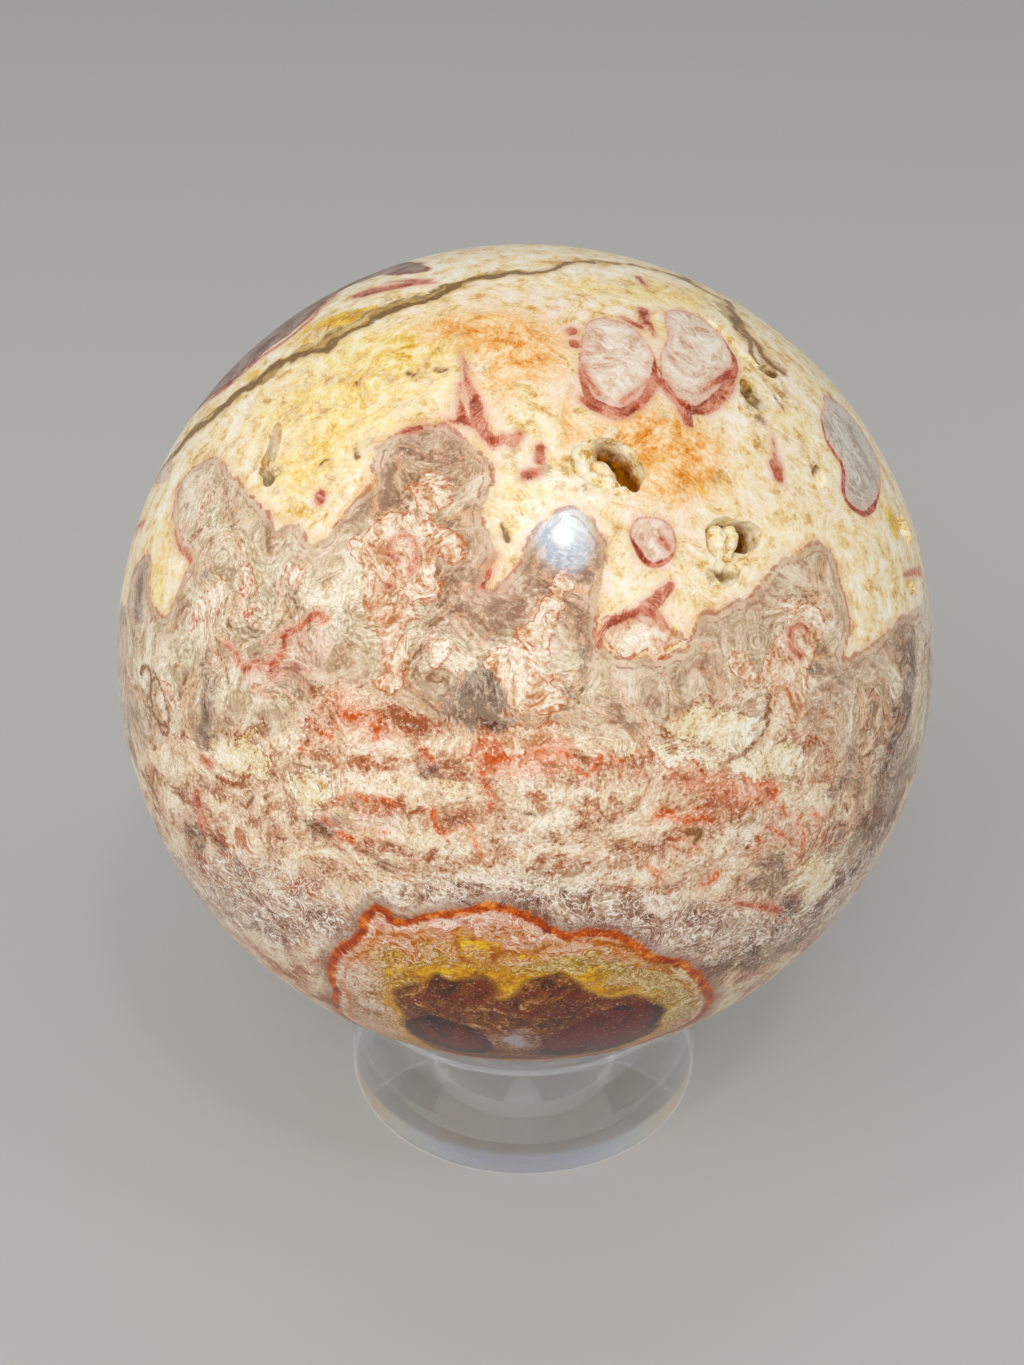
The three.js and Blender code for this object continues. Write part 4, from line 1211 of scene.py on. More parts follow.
def eye_rings(places):
    """How near each place is to the middle of an eye, from 0 at the eye's edge to 1."""
    best = np.zeros(len(places))
    for east, north, radius in EYES:
        gap = np.linalg.norm(places - direction(east, north), axis=1) * STONE_RADIUS
        best = np.maximum(best, 1 - gap / radius)
    return best


def lines_depth(places, lines):
    return deepest(line_depth(places, path, (start, end)) for path, start, end in lines.values())


def bodies_depth(places, outlines):
    return deepest(outline_depth(places, outline) for outline in outlines)


def uneven(places, share):
    """The places moved a little to and fro, so that what is drawn on them has a wandering outline."""
    moved = places * STONE_RADIUS
    for length, reach in WANDERINGS:
        x, y, z = (places * STONE_RADIUS * math.tau / length).T
        wander = [
            np.sin(y + 1.7 * np.sin(0.7 * z)),
            np.sin(1.1 * z + 1.3 * np.sin(0.8 * x)),
            np.sin(0.9 * x + 1.9 * np.sin(0.6 * y)),
        ]
        moved = moved + share * reach * np.stack(wander, axis=-1)
    return unit(moved)


def read_picture(flawless):
    """Every feature as a value at each place on the stone."""
    places = uneven(flawless, 0.7)
    rough = uneven(flawless, 1.6)
    calm = uneven(flawless, 0.22)
    plume = bodies_depth(places, [SKYLINE + PLUME_FOOT, *BACK_PLUMES.values()])
    skyline = gap_to_path(smooth_path(SKYLINE, closed=False), places)
    foot = gap_to_path(smooth_path(PLUME_FOOT, closed=False), places)
    medallion = outline_depth(calm, MEDALLION)
    core = outline_depth(places, MEDALLION_CORE)
    nodule, rim, grey = nodule_fields(calm)
    north = np.degrees(np.arcsin(np.clip(places[:, 2], -1, 1)))
    below = north < BANDS_NORTH
    flow = np.where((plume < 0) & below, np.minimum(foot, REACH), plume)
    flow = np.where(medallion > 0, medallion, flow)
    values = {
        "plume": plume,
        "plume_edge": -np.minimum(skyline, REACH),
        "growth": bodies_depth(places, GROWTHS.values()),
        "eye": eye_rings(places),
        "cream_body": bodies_depth(places, CREAM_BODIES.values()),
        "nodule": nodule,
        "nodule_rim": rim,
        "nodule_grey": grey,
        "red_mark": lines_depth(calm, RED_MARKS),
        "coral_line": lines_depth(places, CORAL_LINES),
        "brown_line": lines_depth(places, BROWN_LINES),
        "fissure": deepest(
            [line_depth(rough, FISSURE, (0.5, 0.05)), line_depth(rough, FISSURE_BACK, (0.05, 0.05))]
        ),
        "fissure_upper": line_depth(rough, FISSURE_UPPER, (0, 0)),
        "fissure_fill": lines_depth(rough, FISSURE_FILLS),
        "mauve": outline_depth(places, MAUVE_BAND),
        "medallion": medallion,
        "core": core,
        "band": np.clip(medallion / np.maximum(medallion - core, 0.1), 0, 1),
        "lens": bodies_depth(places, MEDALLION_LENSES.values()),
        "agate": outline_depth(places, AGATE),
        "medallion_line": lines_depth(places, MEDALLION_LINES),
        "north": north,
        "flow": flow,
    }
    for name, blobs in STAINS.items():
        values["stain_" + name] = stain(places, blobs)
    return values


def store(piece, name, values):
    attribute = piece.data.attributes.new(name, "FLOAT", "POINT")
    attribute.data.foreach_set("value", values.astype(np.float32))


def build_stone():
    ball = stone_ball()
    cutters = join([vug_cutter(vug) for vug in VUGS.values()])
    cut(ball, cutters)
    offsets = points_of(ball) - np.array(STONE_CENTRE)
    own = offsets @ np.array(STONE_TIP)
    places = unit(own)
    for name, values in read_picture(places).items():
        store(ball, name, values)
    store(ball, "sunk", STONE_RADIUS - np.linalg.norm(own, axis=1) / MM)
    bpy.ops.object.select_all(action="DESELECT")
    ball.select_set(True)
    bpy.context.view_layer.objects.active = ball
    bpy.ops.object.shade_smooth_by_angle(angle=math.radians(STONE_CREASE_ANGLE))
    ball.select_set(False)
    return ball


# The stone's finish


def stone_coordinates(finish):
    """The stone's own frame, in millimetres from its centre."""
    raw = finish.node("ShaderNodeTexCoord", {}, {}, "Object")
    untip = STONE_TIP.transposed()
    settings = {"vector_type": "POINT"}
    inputs = {
        "Vector": raw,
        "Location": -(untip @ STONE_CENTRE) / MM,
        "Rotation": untip.to_euler(),
        "Scale": (1 / MM,) * 3,
    }
    return finish.node("ShaderNodeMapping", settings, inputs)


def stone_textures(f):
    """The noises that all of the stone's finishes share, on its own frame in millimetres."""
    t = SimpleNamespace()
    here = stone_coordinates(f)
    middle = (0.5, 0.5, 0.5)
    drift = f.noise(here, 0.09, 1, output="Color") - middle
    curl = f.noise(here + drift * 30, 0.4, 1, output="Color") - middle
    crinkle = f.noise(here + curl * 8, 1.5, 1, output="Color") - middle
    swirl = here + drift * 34 + curl * 8 + crinkle * 1.4
    t.cloud = f.noise(swirl, 0.13, 1, 0.55)
    t.mottle = f.noise(swirl, 0.38, 1, 0.6)
    t.fold = f.noise(here + curl * 3 + crinkle * 0.6, 0.36, 1, 0.5)
    t.patch = f.noise(here + drift * 24 + curl * 5, 0.21, 2, 0.55)
    t.spot = f.noise(here + crinkle * 0.8, 0.5, 3, 0.66)
    t.grain = f.noise(here, 2.6, 2, 0.66)
    t.pepper = f.smooth(t.grain, 0.41, 0.28)
    t.salt = f.smooth(t.grain, 0.58, 0.72)
    east = f.node("ShaderNodeSeparateXYZ", {}, {"Vector": here}, "X")
    north = f.node("ShaderNodeSeparateXYZ", {}, {"Vector": here}, "Z")
    along = f.node(
        "ShaderNodeCombineXYZ", {}, {"X": f.field("flow") * 0.7, "Y": east * 0.3, "Z": north * 0.3}
    )
    loose = 1.5 + f.smooth(f.field("flow"), 1, 5) * 4
    t.layer = f.noise(along + curl * loose + crinkle * 0.6, 1, 1, 0.5)
    t.strata = f.noise((here + curl * 5 + crinkle * 0.8) * (0.5, 0.5, 1.6), 0.24, 3, 0.6)
    web = f.saw(f.noise(here + curl * 3 + crinkle * 0.8, 0.3, 1) * 7)
    t.thread = f.larger(f.smooth(web, 0.8, 0.95), f.smooth(f.saw(t.fold * 6), 0.8, 0.95))
    t.sugar = (t.spot - 0.5) * 0.75 + (t.grain - 0.5) * 0.18 + (t.mottle - 0.5) * 0.3 + 0.5
    t.worm = f.saw(t.fold * 8)
    t.strand = f.saw(t.layer * 7)
    t.ragged = (t.mottle - 0.5) * 6 + (t.spot - 0.5) * 5 + (t.grain - 0.5) * 3
    t.rock = (
        (t.mottle - 0.5) * 0.5 + (t.patch - 0.5) * 0.6 + (t.spot - 0.5) * 0.4 + (t.grain - 0.5) * 0.35 + 0.5
    )
    t.banded = (
        (t.layer - 0.5) * 0.5
        + (t.patch - 0.5) * 0.6
        + (t.mottle - 0.5) * 0.3
        + (t.spot - 0.5) * 0.3
        + (t.grain - 0.5) * 0.35
        + 0.5
    )
    t.sand = (
        (t.strata - 0.5) * 0.7 + (t.spot - 0.5) * 0.4 + (t.patch - 0.5) * 0.4 + (t.grain - 0.5) * 0.4 + 0.5
    )
    return t


def stone_finish():
    f = Finish("patterned_stone")
    t = stone_textures(f)
    color = host_color(f, t)
    color = lower_color(f, t, color)
    color = plume_color(f, t, color)
    color = growth_color(f, t, color)
    color = nodule_color(f, t, color)
    color = mark_color(f, t, color)
    color = fissure_color(f, t, color)
    color = fine_lines(f, t, color)
    color = medallion_color(f, t, color)
    sunk = f.field("sunk")
    color = vug_color(f, t, color, sunk)
    color = f.node("ShaderNodeHueSaturation", {}, {"Color": color, "Saturation": COLOR_STRENGTH}, "Color")

    in_vug = f.smooth(sunk, 0.03, 0.15)
    polish = f.larger(f.smooth(f.field("plume"), -0.2, 0.3), f.smooth(f.field("nodule"), -0.2, 0.3))
    rough = 0.3 - polish * 0.2 + (t.mottle - 0.5) * 0.08 + in_vug * 0.4
    height = t.grain * (0.03 + in_vug * 0.7)
    relief = {"Strength": 0.5, "Distance": 0.3 * MM, "Height": height}
    inputs = {
        "Base Color": color,
        "Roughness": rough,
        "Normal": f.node("ShaderNodeBump", {}, relief, "Normal"),
        "IOR": 1.54,
        "Specular IOR Level": 0.3,
    }
    f.set(f.shader, inputs)
    return f.material


def stained(f, t, color, name, low, high, share, above):
    """A stain with a ragged edge over a colour."""
    middle = (low + high) / 2
    edge = (high - low) * 0.32
    depth = f.field("stain_" + name) + t.ragged * 0.26
    return f.blend(f.smooth(depth, middle - edge, middle + edge) * share, color, above)


def seasoned(f, t, color, share):
    """Fine dark and pale grains over a colour."""
    glaze = tuple(1 - share * fall for fall in (0.4, 0.56, 0.66))
    color = f.blend(t.pepper, color, f.tint(color, glaze))
    return f.blend(t.salt, color, f.blend(share, color, paint(252, 246, 236)))


def patchy(f, t, color, name, share, above):
    """A stain that breaks up into small patches over a colour."""
    stain = f.field("stain_" + name)
    mask = f.smooth(stain * 0.6 + (t.spot - 0.5) * 3.6, 0.15, 0.8) * f.smooth(stain, 0.06, 0.5)
    return f.blend(mask * share, color, above)


def umber_color(f, t):
    return f.ramp(t.sugar, [
        (0.36, paint(74, 52, 32)), (0.46, paint(128, 98, 66)), (0.56, paint(178, 148, 106)),
        (0.66, paint(218, 196, 158)),
    ])


def host_color(f, t):
    """Sugary cream rock of the upper half, with small yellow, orange and pink patches."""
    color = f.ramp(t.sugar, [
        (0.33, paint(204, 162, 112)), (0.41, paint(234, 208, 162)), (0.49, paint(246, 229, 194)),
        (0.57, paint(251, 241, 218)), (0.66, paint(255, 251, 242)),
    ])
    white = f.ramp(t.sugar, [
        (0.36, paint(230, 212, 182)), (0.48, paint(246, 237, 218)), (0.6, paint(254, 251, 242)),
    ])
    color = f.blend(f.smooth(t.patch, 0.5, 0.62) * 0.6, color, white)
    color = patchy(f, t, color, "white", 0.85, white)
    color = patchy(f, t, color, "blush", 0.85, f.ramp(t.sugar, [
        (0.34, paint(224, 178, 152)), (0.44, paint(240, 209, 186)), (0.54, paint(246, 225, 206)),
        (0.66, paint(251, 240, 228)),
    ]))
    color = patchy(f, t, color, "yellow", 0.82, f.ramp(t.sugar, [
        (0.34, paint(208, 150, 76)), (0.42, paint(234, 196, 116)), (0.5, paint(245, 221, 154)),
        (0.58, paint(249, 234, 186)), (0.68, paint(252, 246, 222)),
    ]))
    color = patchy(f, t, color, "orange", 0.92, f.ramp(t.sugar, [
        (0.34, paint(212, 132, 80)), (0.42, paint(233, 170, 114)), (0.5, paint(242, 196, 144)),
        (0.58, paint(247, 216, 174)), (0.68, paint(250, 234, 208)),
    ]))
    color = patchy(f, t, color, "gold", 0.95, f.ramp(t.sugar, [
        (0.36, paint(160, 108, 36)), (0.45, paint(208, 154, 48)), (0.54, paint(234, 192, 84)),
        (0.66, paint(246, 222, 148)),
    ]))
    color = patchy(f, t, color, "green", 0.8, f.ramp(t.sugar, [
        (0.36, paint(154, 140, 102)), (0.5, paint(204, 192, 148)), (0.64, paint(232, 222, 186)),
    ]))
    color = patchy(f, t, color, "umber", 0.9, umber_color(f, t))
    return seasoned(f, t, color, 0.27)


def lower_color(f, t, above):
    """The granular pink and beige rock below the plumes, lilac and webbed with white lower down."""
    color = f.ramp(t.sand, [
        (0.33, paint(142, 100, 80)), (0.4, paint(184, 144, 120)), (0.46, paint(212, 180, 156)),
        (0.52, paint(227, 205, 180)), (0.58, paint(237, 221, 198)), (0.67, paint(248, 240, 226)),
    ])
    yellow = f.ramp(t.sand, [
        (0.36, paint(168, 124, 86)), (0.44, paint(214, 182, 144)), (0.52, paint(234, 213, 180)),
        (0.64, paint(247, 237, 214)),
    ])
    color = stained(f, t, color, "yellow", 0.2, 0.8, 0.85, yellow)
    color = stained(f, t, color, "green", 0.25, 0.8, 0.5, yellow)
    color = f.blend(f.smooth(t.strata, 0.55, 0.64) * 0.5, color, yellow)
    coral = f.ramp(t.sand, [
        (0.34, paint(182, 112, 88)), (0.42, paint(211, 146, 120)), (0.5, paint(227, 176, 152)),
        (0.58, paint(238, 202, 182)), (0.68, paint(248, 228, 214)),
    ])
    color = f.blend(f.smooth(t.strata, 0.45, 0.37) * 0.4, color, coral)
    color = stained(f, t, color, "dark", 0.3, 0.9, 0.85, f.ramp(t.sand, [
        (0.38, paint(80, 54, 44)), (0.48, paint(122, 92, 76)), (0.6, paint(170, 142, 122)),
    ]))
    color = stained(f, t, color, "lilac", 0.25, 0.85, 0.9, f.ramp(t.rock, [
        (0.34, paint(100, 68, 56)), (0.43, paint(144, 110, 94)), (0.52, paint(182, 152, 134)),
        (0.6, paint(212, 190, 172)), (0.7, paint(240, 228, 214)),
    ]))
    color = stained(f, t, color, "white", 0.3, 0.85, 0.8, f.ramp(t.sand, [
        (0.36, paint(190, 164, 140)), (0.46, paint(222, 205, 184)), (0.58, paint(243, 235, 222)),
    ]))
    color = stained(f, t, color, "coral", 0.25, 0.95, 0.7, coral)
    strong = f.smooth(f.field("stain_coral") + t.ragged * 0.3, 0.8, 1.5)
    color = f.blend(strong * 0.35, color, f.ramp(t.rock, [
        (0.4, paint(206, 116, 96)), (0.5, paint(228, 148, 126)), (0.62, paint(240, 192, 172)),
    ]))
    color = stained(f, t, color, "rust", 0.35, 0.85, 0.9, f.ramp(t.rock, [
        (0.38, paint(108, 44, 26)), (0.48, paint(156, 78, 50)), (0.58, paint(196, 126, 94)),
    ]))
    borders = f.smooth(f.saw(t.spot * 7 + t.strata * 5), 0.3, 0)
    color = f.blend(borders * 0.5, color, f.tint(color, (0.66, 0.48, 0.38)))
    line = f.field("coral_line") + t.ragged * 0.2
    color = f.blend(f.smooth(line, -1.2, 0) * 0.4, color, coral)
    color = f.blend(f.smooth(line, -0.15, 0.15) * 0.85, color, f.ramp(t.sand, [
        (0.38, paint(176, 90, 62)), (0.48, paint(214, 122, 92)), (0.6, paint(236, 174, 146)),
    ]))
    body = f.field("cream_body") + t.ragged * 0.7
    hem = f.smooth(body, -0.8, -0.1) * f.smooth(t.layer, 0.6, 0.45)
    color = f.blend(hem * 0.5, color, paint(128, 92, 66))
    color = f.blend(f.smooth(body, -0.1, 0.4) * 0.92, color, f.ramp(t.sand, [
        (0.35, paint(196, 160, 116)), (0.44, paint(228, 208, 172)), (0.54, paint(241, 231, 206)),
        (0.64, paint(249, 244, 230)),
    ]))
    web = t.thread * f.smooth(f.field("stain_lilac"), 0.15, 0.6)
    color = f.blend(web * 0.9, color, paint(246, 238, 228))
    color = seasoned(f, t, color, 0.6)
    seen = f.smooth(f.field("north") + (t.cloud - 0.5) * 4, -2, -3.4)
    return f.blend(seen, above, color)


def plume_color(f, t, below):
    """Grey-beige translucent plumes with hair-fine contour lines and a double pink-brown outline."""
    depth = f.field("plume")
    inside = depth + t.ragged * f.smooth(f.field("plume_edge"), -2, -6) * 0.9 + t.ragged * 0.04
    color = f.ramp(t.banded, [
        (0.34, paint(138, 106, 86)), (0.41, paint(172, 142, 118)), (0.47, paint(197, 170, 144)),
        (0.53, paint(212, 190, 164)), (0.6, paint(226, 209, 186)), (0.68, paint(242, 232, 216)),
    ])
    white = f.ramp(t.banded, [
        (0.36, paint(206, 190, 162)), (0.48, paint(231, 221, 197)), (0.6, paint(245, 239, 222)),
    ])
    color = f.blend(f.smooth(t.cloud, 0.44, 0.58) * 0.6, color, white)
    color = stained(f, t, color, "white", 0.3, 0.85, 0.8, white)
    color = stained(f, t, color, "fawn", 0.2, 0.8, 0.85, f.ramp(t.banded, [
        (0.36, paint(126, 92, 76)), (0.45, paint(168, 134, 114)), (0.54, paint(198, 168, 146)),
        (0.66, paint(224, 202, 182)),
    ]))
    blush = f.ramp(t.banded, [
        (0.36, paint(176, 128, 114)), (0.48, paint(210, 174, 158)), (0.6, paint(230, 206, 192)),
    ])
    color = stained(f, t, color, "lilac", 0.3, 0.9, 0.5, blush)
    color = stained(f, t, color, "blush", 0.25, 0.85, 0.75, blush)
    color = stained(f, t, color, "dark", 0.3, 0.85, 0.85, f.ramp(t.banded, [
        (0.38, paint(72, 54, 46)), (0.48, paint(112, 90, 80)), (0.6, paint(160, 138, 122)),
    ]))
    color = stained(f, t, color, "coral", 0.3, 0.9, 0.8, f.ramp(t.banded, [
        (0.38, paint(170, 96, 72)), (0.5, paint(212, 150, 124)), (0.62, paint(232, 196, 174)),
    ]))
    color = stained(f, t, color, "rust", 0.35, 0.85, 0.85, f.ramp(t.banded, [
        (0.38, paint(120, 62, 40)), (0.5, paint(176, 112, 78)), (0.62, paint(212, 166, 132)),
    ]))
    eye = f.field("eye")
    rings = f.saw(eye * 5 + t.fold * 1.4)
    color = f.blend(f.smooth(eye, 0, 0.25) * f.smooth(rings, 0.5, 1) * 0.55, color, paint(228, 219, 202))
    color = f.blend(f.smooth(eye, 0, 0.3) * f.smooth(rings, 0.35, 0) * 0.45, color, paint(158, 138, 120))
    freckle = f.smooth(t.mottle + (t.grain - 0.5) * 0.4, 0.55, 0.63) * f.smooth(t.cloud, 0.56, 0.46)
    color = f.blend(freckle * 0.6, color, paint(232, 182, 148))
    pale = f.smooth(t.strand, 0.7, 1) * f.smooth(t.patch, 0.44, 0.58)
    color = f.blend(pale * 0.6, color, paint(244, 238, 226))
    dark = f.smooth(t.strand, 0.3, 0) * f.smooth(t.patch, 0.56, 0.44)
    color = f.blend(dark * 0.5, color, paint(146, 116, 94))
    color = seasoned(f, t, color, 0.32)
    color = f.blend(f.smooth(depth, 6, 1) * 0.28, color, paint(202, 176, 154))
    color = f.blend(f.smooth(inside, -0.1, 0.25), below, color)
    edge = f.field("plume_edge") + (t.mottle - 0.5) * 0.7
    halo = f.smooth(edge, -1.5, -0.3) * f.smooth(depth, 0.2, -0.2)
    color = f.blend(halo * 0.4, color, paint(232, 196, 166))
    rim = f.smooth(edge, -1.3, -0.2) * f.smooth(depth, -0.1, 0.3)
    color = f.blend(rim * 0.55, color, paint(216, 192, 170))
    outline = f.smooth(edge, -0.34, -0.1) * f.smooth(t.cloud, 0.4, 0.5)
    color = f.blend(outline * 0.75, color, paint(176, 116, 96))
    inner = f.near(edge, -0.95, 0.2) * f.smooth(depth, 0, 0.3) * f.smooth(t.mottle, 0.4, 0.55)
    return f.blend(inner * 0.7, color, paint(160, 116, 96))


def growth_color(f, t, below):
    """Cream chalcedony with a thin orange-brown outline."""
    depth = f.field("growth") + (t.fold - 0.5) * 5 + (t.spot - 0.5) * 3
    color = f.ramp(t.banded, [
        (0.34, paint(188, 134, 104)), (0.42, paint(216, 176, 148)), (0.49, paint(230, 205, 182)),
        (0.57, paint(240, 226, 206)), (0.68, paint(250, 245, 236)),
    ])
    rings = f.saw(depth * 0.8 + t.cloud * 2)
    inner = f.smooth(rings, 0.2, 0.02) * f.smooth(t.grain, 0.4, 0.55)
    color = f.blend(inner * 0.5, color, paint(182, 118, 84))
    color = seasoned(f, t, color, 0.4)
    color = f.blend(f.smooth(depth, -0.1, 0.25) * 0.9, below, color)
    outline = f.near(depth, 0, 0.34) * f.smooth(t.mottle, 0.4, 0.52)
    return f.blend(outline * 0.85, color, paint(184, 110, 76))


def nodule_color(f, t, below):
    """Nodules with a pale body and a dark red rim."""
    depth = f.field("nodule") + t.ragged * 0.04
    rim = f.field("nodule_rim")
    grey = f.field("nodule_grey")
    pink = f.ramp(t.rock, [
        (0.34, paint(206, 168, 148)), (0.44, paint(226, 203, 184)), (0.53, paint(234, 219, 203)),
        (0.64, paint(244, 236, 225)),
    ])
    ash = f.ramp(t.rock, [
        (0.36, paint(172, 160, 146)), (0.47, paint(202, 194, 182)), (0.6, paint(220, 214, 204)),
    ])
    color = f.blend(grey, pink, ash)
    color = f.blend(f.smooth(rim - depth, -1.2, 0) * 0.5, color, paint(226, 192, 178))
    color = f.blend(f.smooth(depth, 0, 0.2), below, color)
    color = f.blend(f.smooth(depth, -0.9, 0) * f.smooth(depth, 0.3, 0) * 0.3, color, paint(222, 176, 152))
    red = f.ramp(t.rock, [
        (0.38, paint(136, 54, 44)), (0.48, paint(168, 84, 70)), (0.6, paint(210, 146, 126)),
    ])
    thin = f.near(depth, 0.08, 0.24) * f.smooth(t.mottle, 0.42, 0.52)
    band = f.smooth(rim - depth, -0.05, 0.15) * f.smooth(depth, -0.08, 0.12) * f.smooth(rim, 0.15, 0.4)
    return f.blend(f.larger(band * 0.9, thin * 0.55), color, red)


def mark_color(f, t, below):
    """Dark red marks with pink halos, and brown threads."""
    brown = f.field("brown_line") + t.ragged * 0.09
    color = f.blend(f.smooth(brown, -0.5, 0) * 0.3, below, paint(176, 134, 104))
    color = f.blend(f.smooth(brown, -0.14, 0.08) * 0.85, color, paint(128, 88, 52))
    depth = f.field("red_mark") + t.ragged * 0.17
    color = f.blend(f.smooth(depth, -0.8, -0.05) * 0.45, color, paint(216, 164, 146))
    red = f.ramp(t.rock + f.smooth(depth, 0.9, 0) * 0.06, [
        (0.38, paint(104, 44, 34)), (0.47, paint(152, 78, 66)), (0.55, paint(188, 114, 98)),
        (0.66, paint(220, 166, 146)),
    ])
    return f.blend(f.smooth(depth, -0.15, 0.12) * 0.92, color, red)


def fissure_color(f, t, below):
    """The healed crack with its tan filling, and the mauve band with red edges behind it."""
    mauve = f.field("mauve") + t.ragged * 0.1
    band = f.ramp(t.banded, [
        (0.36, paint(74, 46, 46)), (0.48, paint(112, 84, 80)), (0.6, paint(160, 132, 124)),
    ])
    color = f.blend(f.smooth(mauve, -0.1, 0.3) * 0.9, below, band)
    border = f.near(mauve, 0.3, 0.8) * f.smooth(t.cloud, 0.4, 0.5)
    color = f.blend(border * 0.85, color, paint(132, 60, 54))
    fill = f.field("fissure_fill") + t.ragged * 0.117
    color = f.blend(f.smooth(fill, -0.2, 0.3) * 0.85, color, f.ramp(t.banded, [
        (0.38, paint(124, 90, 48)), (0.5, paint(182, 150, 98)), (0.62, paint(214, 190, 144)),
    ]))
    depth = f.field("fissure") + t.ragged * 0.13
    upper = f.field("fissure_upper") + t.ragged * 0.13
    color = f.blend(f.smooth(depth, -1.4, -0.3) * 0.5, color, paint(196, 160, 100))
    color = f.blend(f.smooth(depth, -0.5, -0.16) * 0.85, color, paint(112, 86, 54))
    top = f.smooth(upper, -0.4, -0.1) * f.smooth(t.mottle, 0.38, 0.48)
    return f.blend(top * 0.75, color, paint(120, 90, 48))


def fine_lines(f, t, below):
    """Brown squiggles and pale threads all over the stone, thick in some places and sparse in others."""
    upper = f.smooth(f.field("plume"), 0.5, 7)
    lower = f.smooth(f.field("north"), -2, -4)
    share = 0.12 + f.larger(upper, lower) * (0.12 + f.smooth(t.patch, 0.44, 0.56) * 0.4)
    brown = f.smooth(t.worm, 0.26, 0) * f.smooth(t.grain, 0.36, 0.5)
    color = f.blend(brown * share, below, f.tint(below, (0.46, 0.34, 0.26)))
    pale = f.smooth(t.worm, 0.74, 1) * f.smooth(t.mottle, 0.4, 0.56)
    return f.blend(pale * (share * 0.5 + 0.16), color, paint(250, 244, 232))


def medallion_color(f, t, below):
    """The medallion: an orange-red rim, pale and tan folds, gold, and a brown core with dark red lenses."""
    depth = f.field("medallion") + t.ragged * 0.16
    core = f.field("core") + t.ragged * 0.2
    lens = f.field("lens") + t.ragged * 0.05
    band = f.field("band") + (t.fold - 0.5) * 1.1 + (t.strata - 0.5) * 0.9
    color = f.ramp(band, [
        (0.0, paint(228, 190, 174)), (0.1, paint(246, 230, 220)), (0.18, paint(208, 144, 112)),
        (0.25, paint(242, 222, 208)), (0.34, paint(214, 162, 128)), (0.4, paint(174, 96, 54)),
        (0.47, paint(228, 198, 168)), (0.54, paint(186, 124, 72)), (0.61, paint(226, 202, 166)),
        (0.68, paint(158, 106, 44)), (0.76, paint(206, 170, 104)), (0.85, paint(166, 124, 42)),
        (0.94, paint(206, 152, 42)),
    ])
    green = f.smooth(f.field("stain_olive") + t.ragged * 0.2, 0.2, 0.8)
    color = f.blend(green * 0.75, color, f.ramp(t.banded, [
        (0.36, paint(120, 88, 34)), (0.45, paint(166, 138, 72)), (0.53, paint(190, 174, 112)),
        (0.64, paint(228, 218, 184)),
    ]))
    ash = f.smooth(f.field("stain_ash") + t.ragged * 0.2, 0.2, 0.8)
    color = f.blend(ash * 0.75, color, f.ramp(t.banded, [
        (0.36, paint(146, 106, 74)), (0.46, paint(188, 160, 132)), (0.58, paint(228, 216, 200)),
    ]))
    folds = f.saw(band * 7 + t.cloud * 3)
    color = f.blend(f.smooth(t.worm, 0.3, 0) * 0.55, color, paint(160, 84, 40))
    color = f.blend(f.smooth(folds, 0.3, 0) * 0.6, color, paint(164, 86, 44))
    color = f.blend(f.smooth(folds, 0.7, 1) * 0.6, color, paint(246, 232, 218))
    line = f.field("medallion_line") + t.ragged * 0.14
    color = f.blend(f.smooth(line, -0.9, -0.1) * 0.4, color, paint(204, 140, 72))
    drawn = f.smooth(line, -0.2, 0.15) * f.smooth(t.mottle, 0.4, 0.5)
    color = f.blend(drawn * 0.8, color, paint(154, 84, 38))
    bright = f.smooth(f.field("stain_bright") + t.ragged * 0.3, 0.3, 0.8)
    color = f.blend(bright * 0.95, color, f.ramp(t.sugar, [
        (0.36, paint(112, 62, 8)), (0.44, paint(172, 108, 14)), (0.52, paint(208, 146, 24)),
        (0.62, paint(236, 200, 112)),
    ]))
    brown = f.ramp(t.banded, [
        (0.36, paint(50, 24, 14)), (0.44, paint(84, 42, 26)), (0.51, paint(116, 66, 40)),
        (0.58, paint(142, 88, 52)), (0.67, paint(196, 158, 122)),
    ])
    reddish = f.smooth(t.cloud, 0.48, 0.58) * 0.6
    brown = f.blend(reddish, brown, paint(104, 40, 28))
    brown = f.blend(f.smooth(t.strand, 0.7, 1) * 0.5, brown, paint(172, 124, 84))
    color = f.blend(f.smooth(core, -0.6, -0.1) * 0.7, color, paint(124, 74, 20))
    color = f.blend(f.smooth(core, -0.1, 0.3), color, brown)
    arch = f.smooth(line, -0.3, 0.1) * f.smooth(core, 0, 0.4)
    color = f.blend(arch * 0.7, color, paint(116, 44, 34))
    red = f.ramp(t.cloud + f.smooth(lens, 0.3, 2.6) * 0.14, [
        (0.42, paint(30, 3, 5)), (0.54, paint(66, 12, 11)), (0.68, paint(102, 24, 19)),
    ])
    color = f.blend(f.smooth(lens, -0.1, 0.4), color, red)
    agate = f.field("agate") + t.ragged * 0.167
    webbed = f.smooth(agate, -0.2, 0.5) * f.smooth(t.worm, 0.2, 0.7)
    color = f.blend(webbed * 0.75, color, paint(172, 146, 130))
    color = f.blend(f.smooth(agate, 1.2, 2.6) * 0.8, color, paint(180, 168, 174))
    color = seasoned(f, t, color, 0.3)
    edge = f.ramp(t.rock, [
        (0.38, paint(134, 50, 26)), (0.47, paint(176, 76, 36)), (0.55, paint(202, 102, 54)),
        (0.64, paint(226, 160, 118)),
    ])
    inner = f.near(depth, 2.4, 0.4) * f.smooth(t.mottle, 0.42, 0.54)
    color = f.blend(inner * 0.6, color, paint(196, 112, 62))
    color = f.blend(f.smooth(depth, 1.5, 0.8), color, edge)
    color = f.blend(f.smooth(depth, -0.3, 0.25), below, color)
    shade = f.smooth(depth, -2.2, -0.2) * f.smooth(depth, 0.2, -0.2)
    return f.blend(shade * 0.55, color, paint(128, 88, 80))


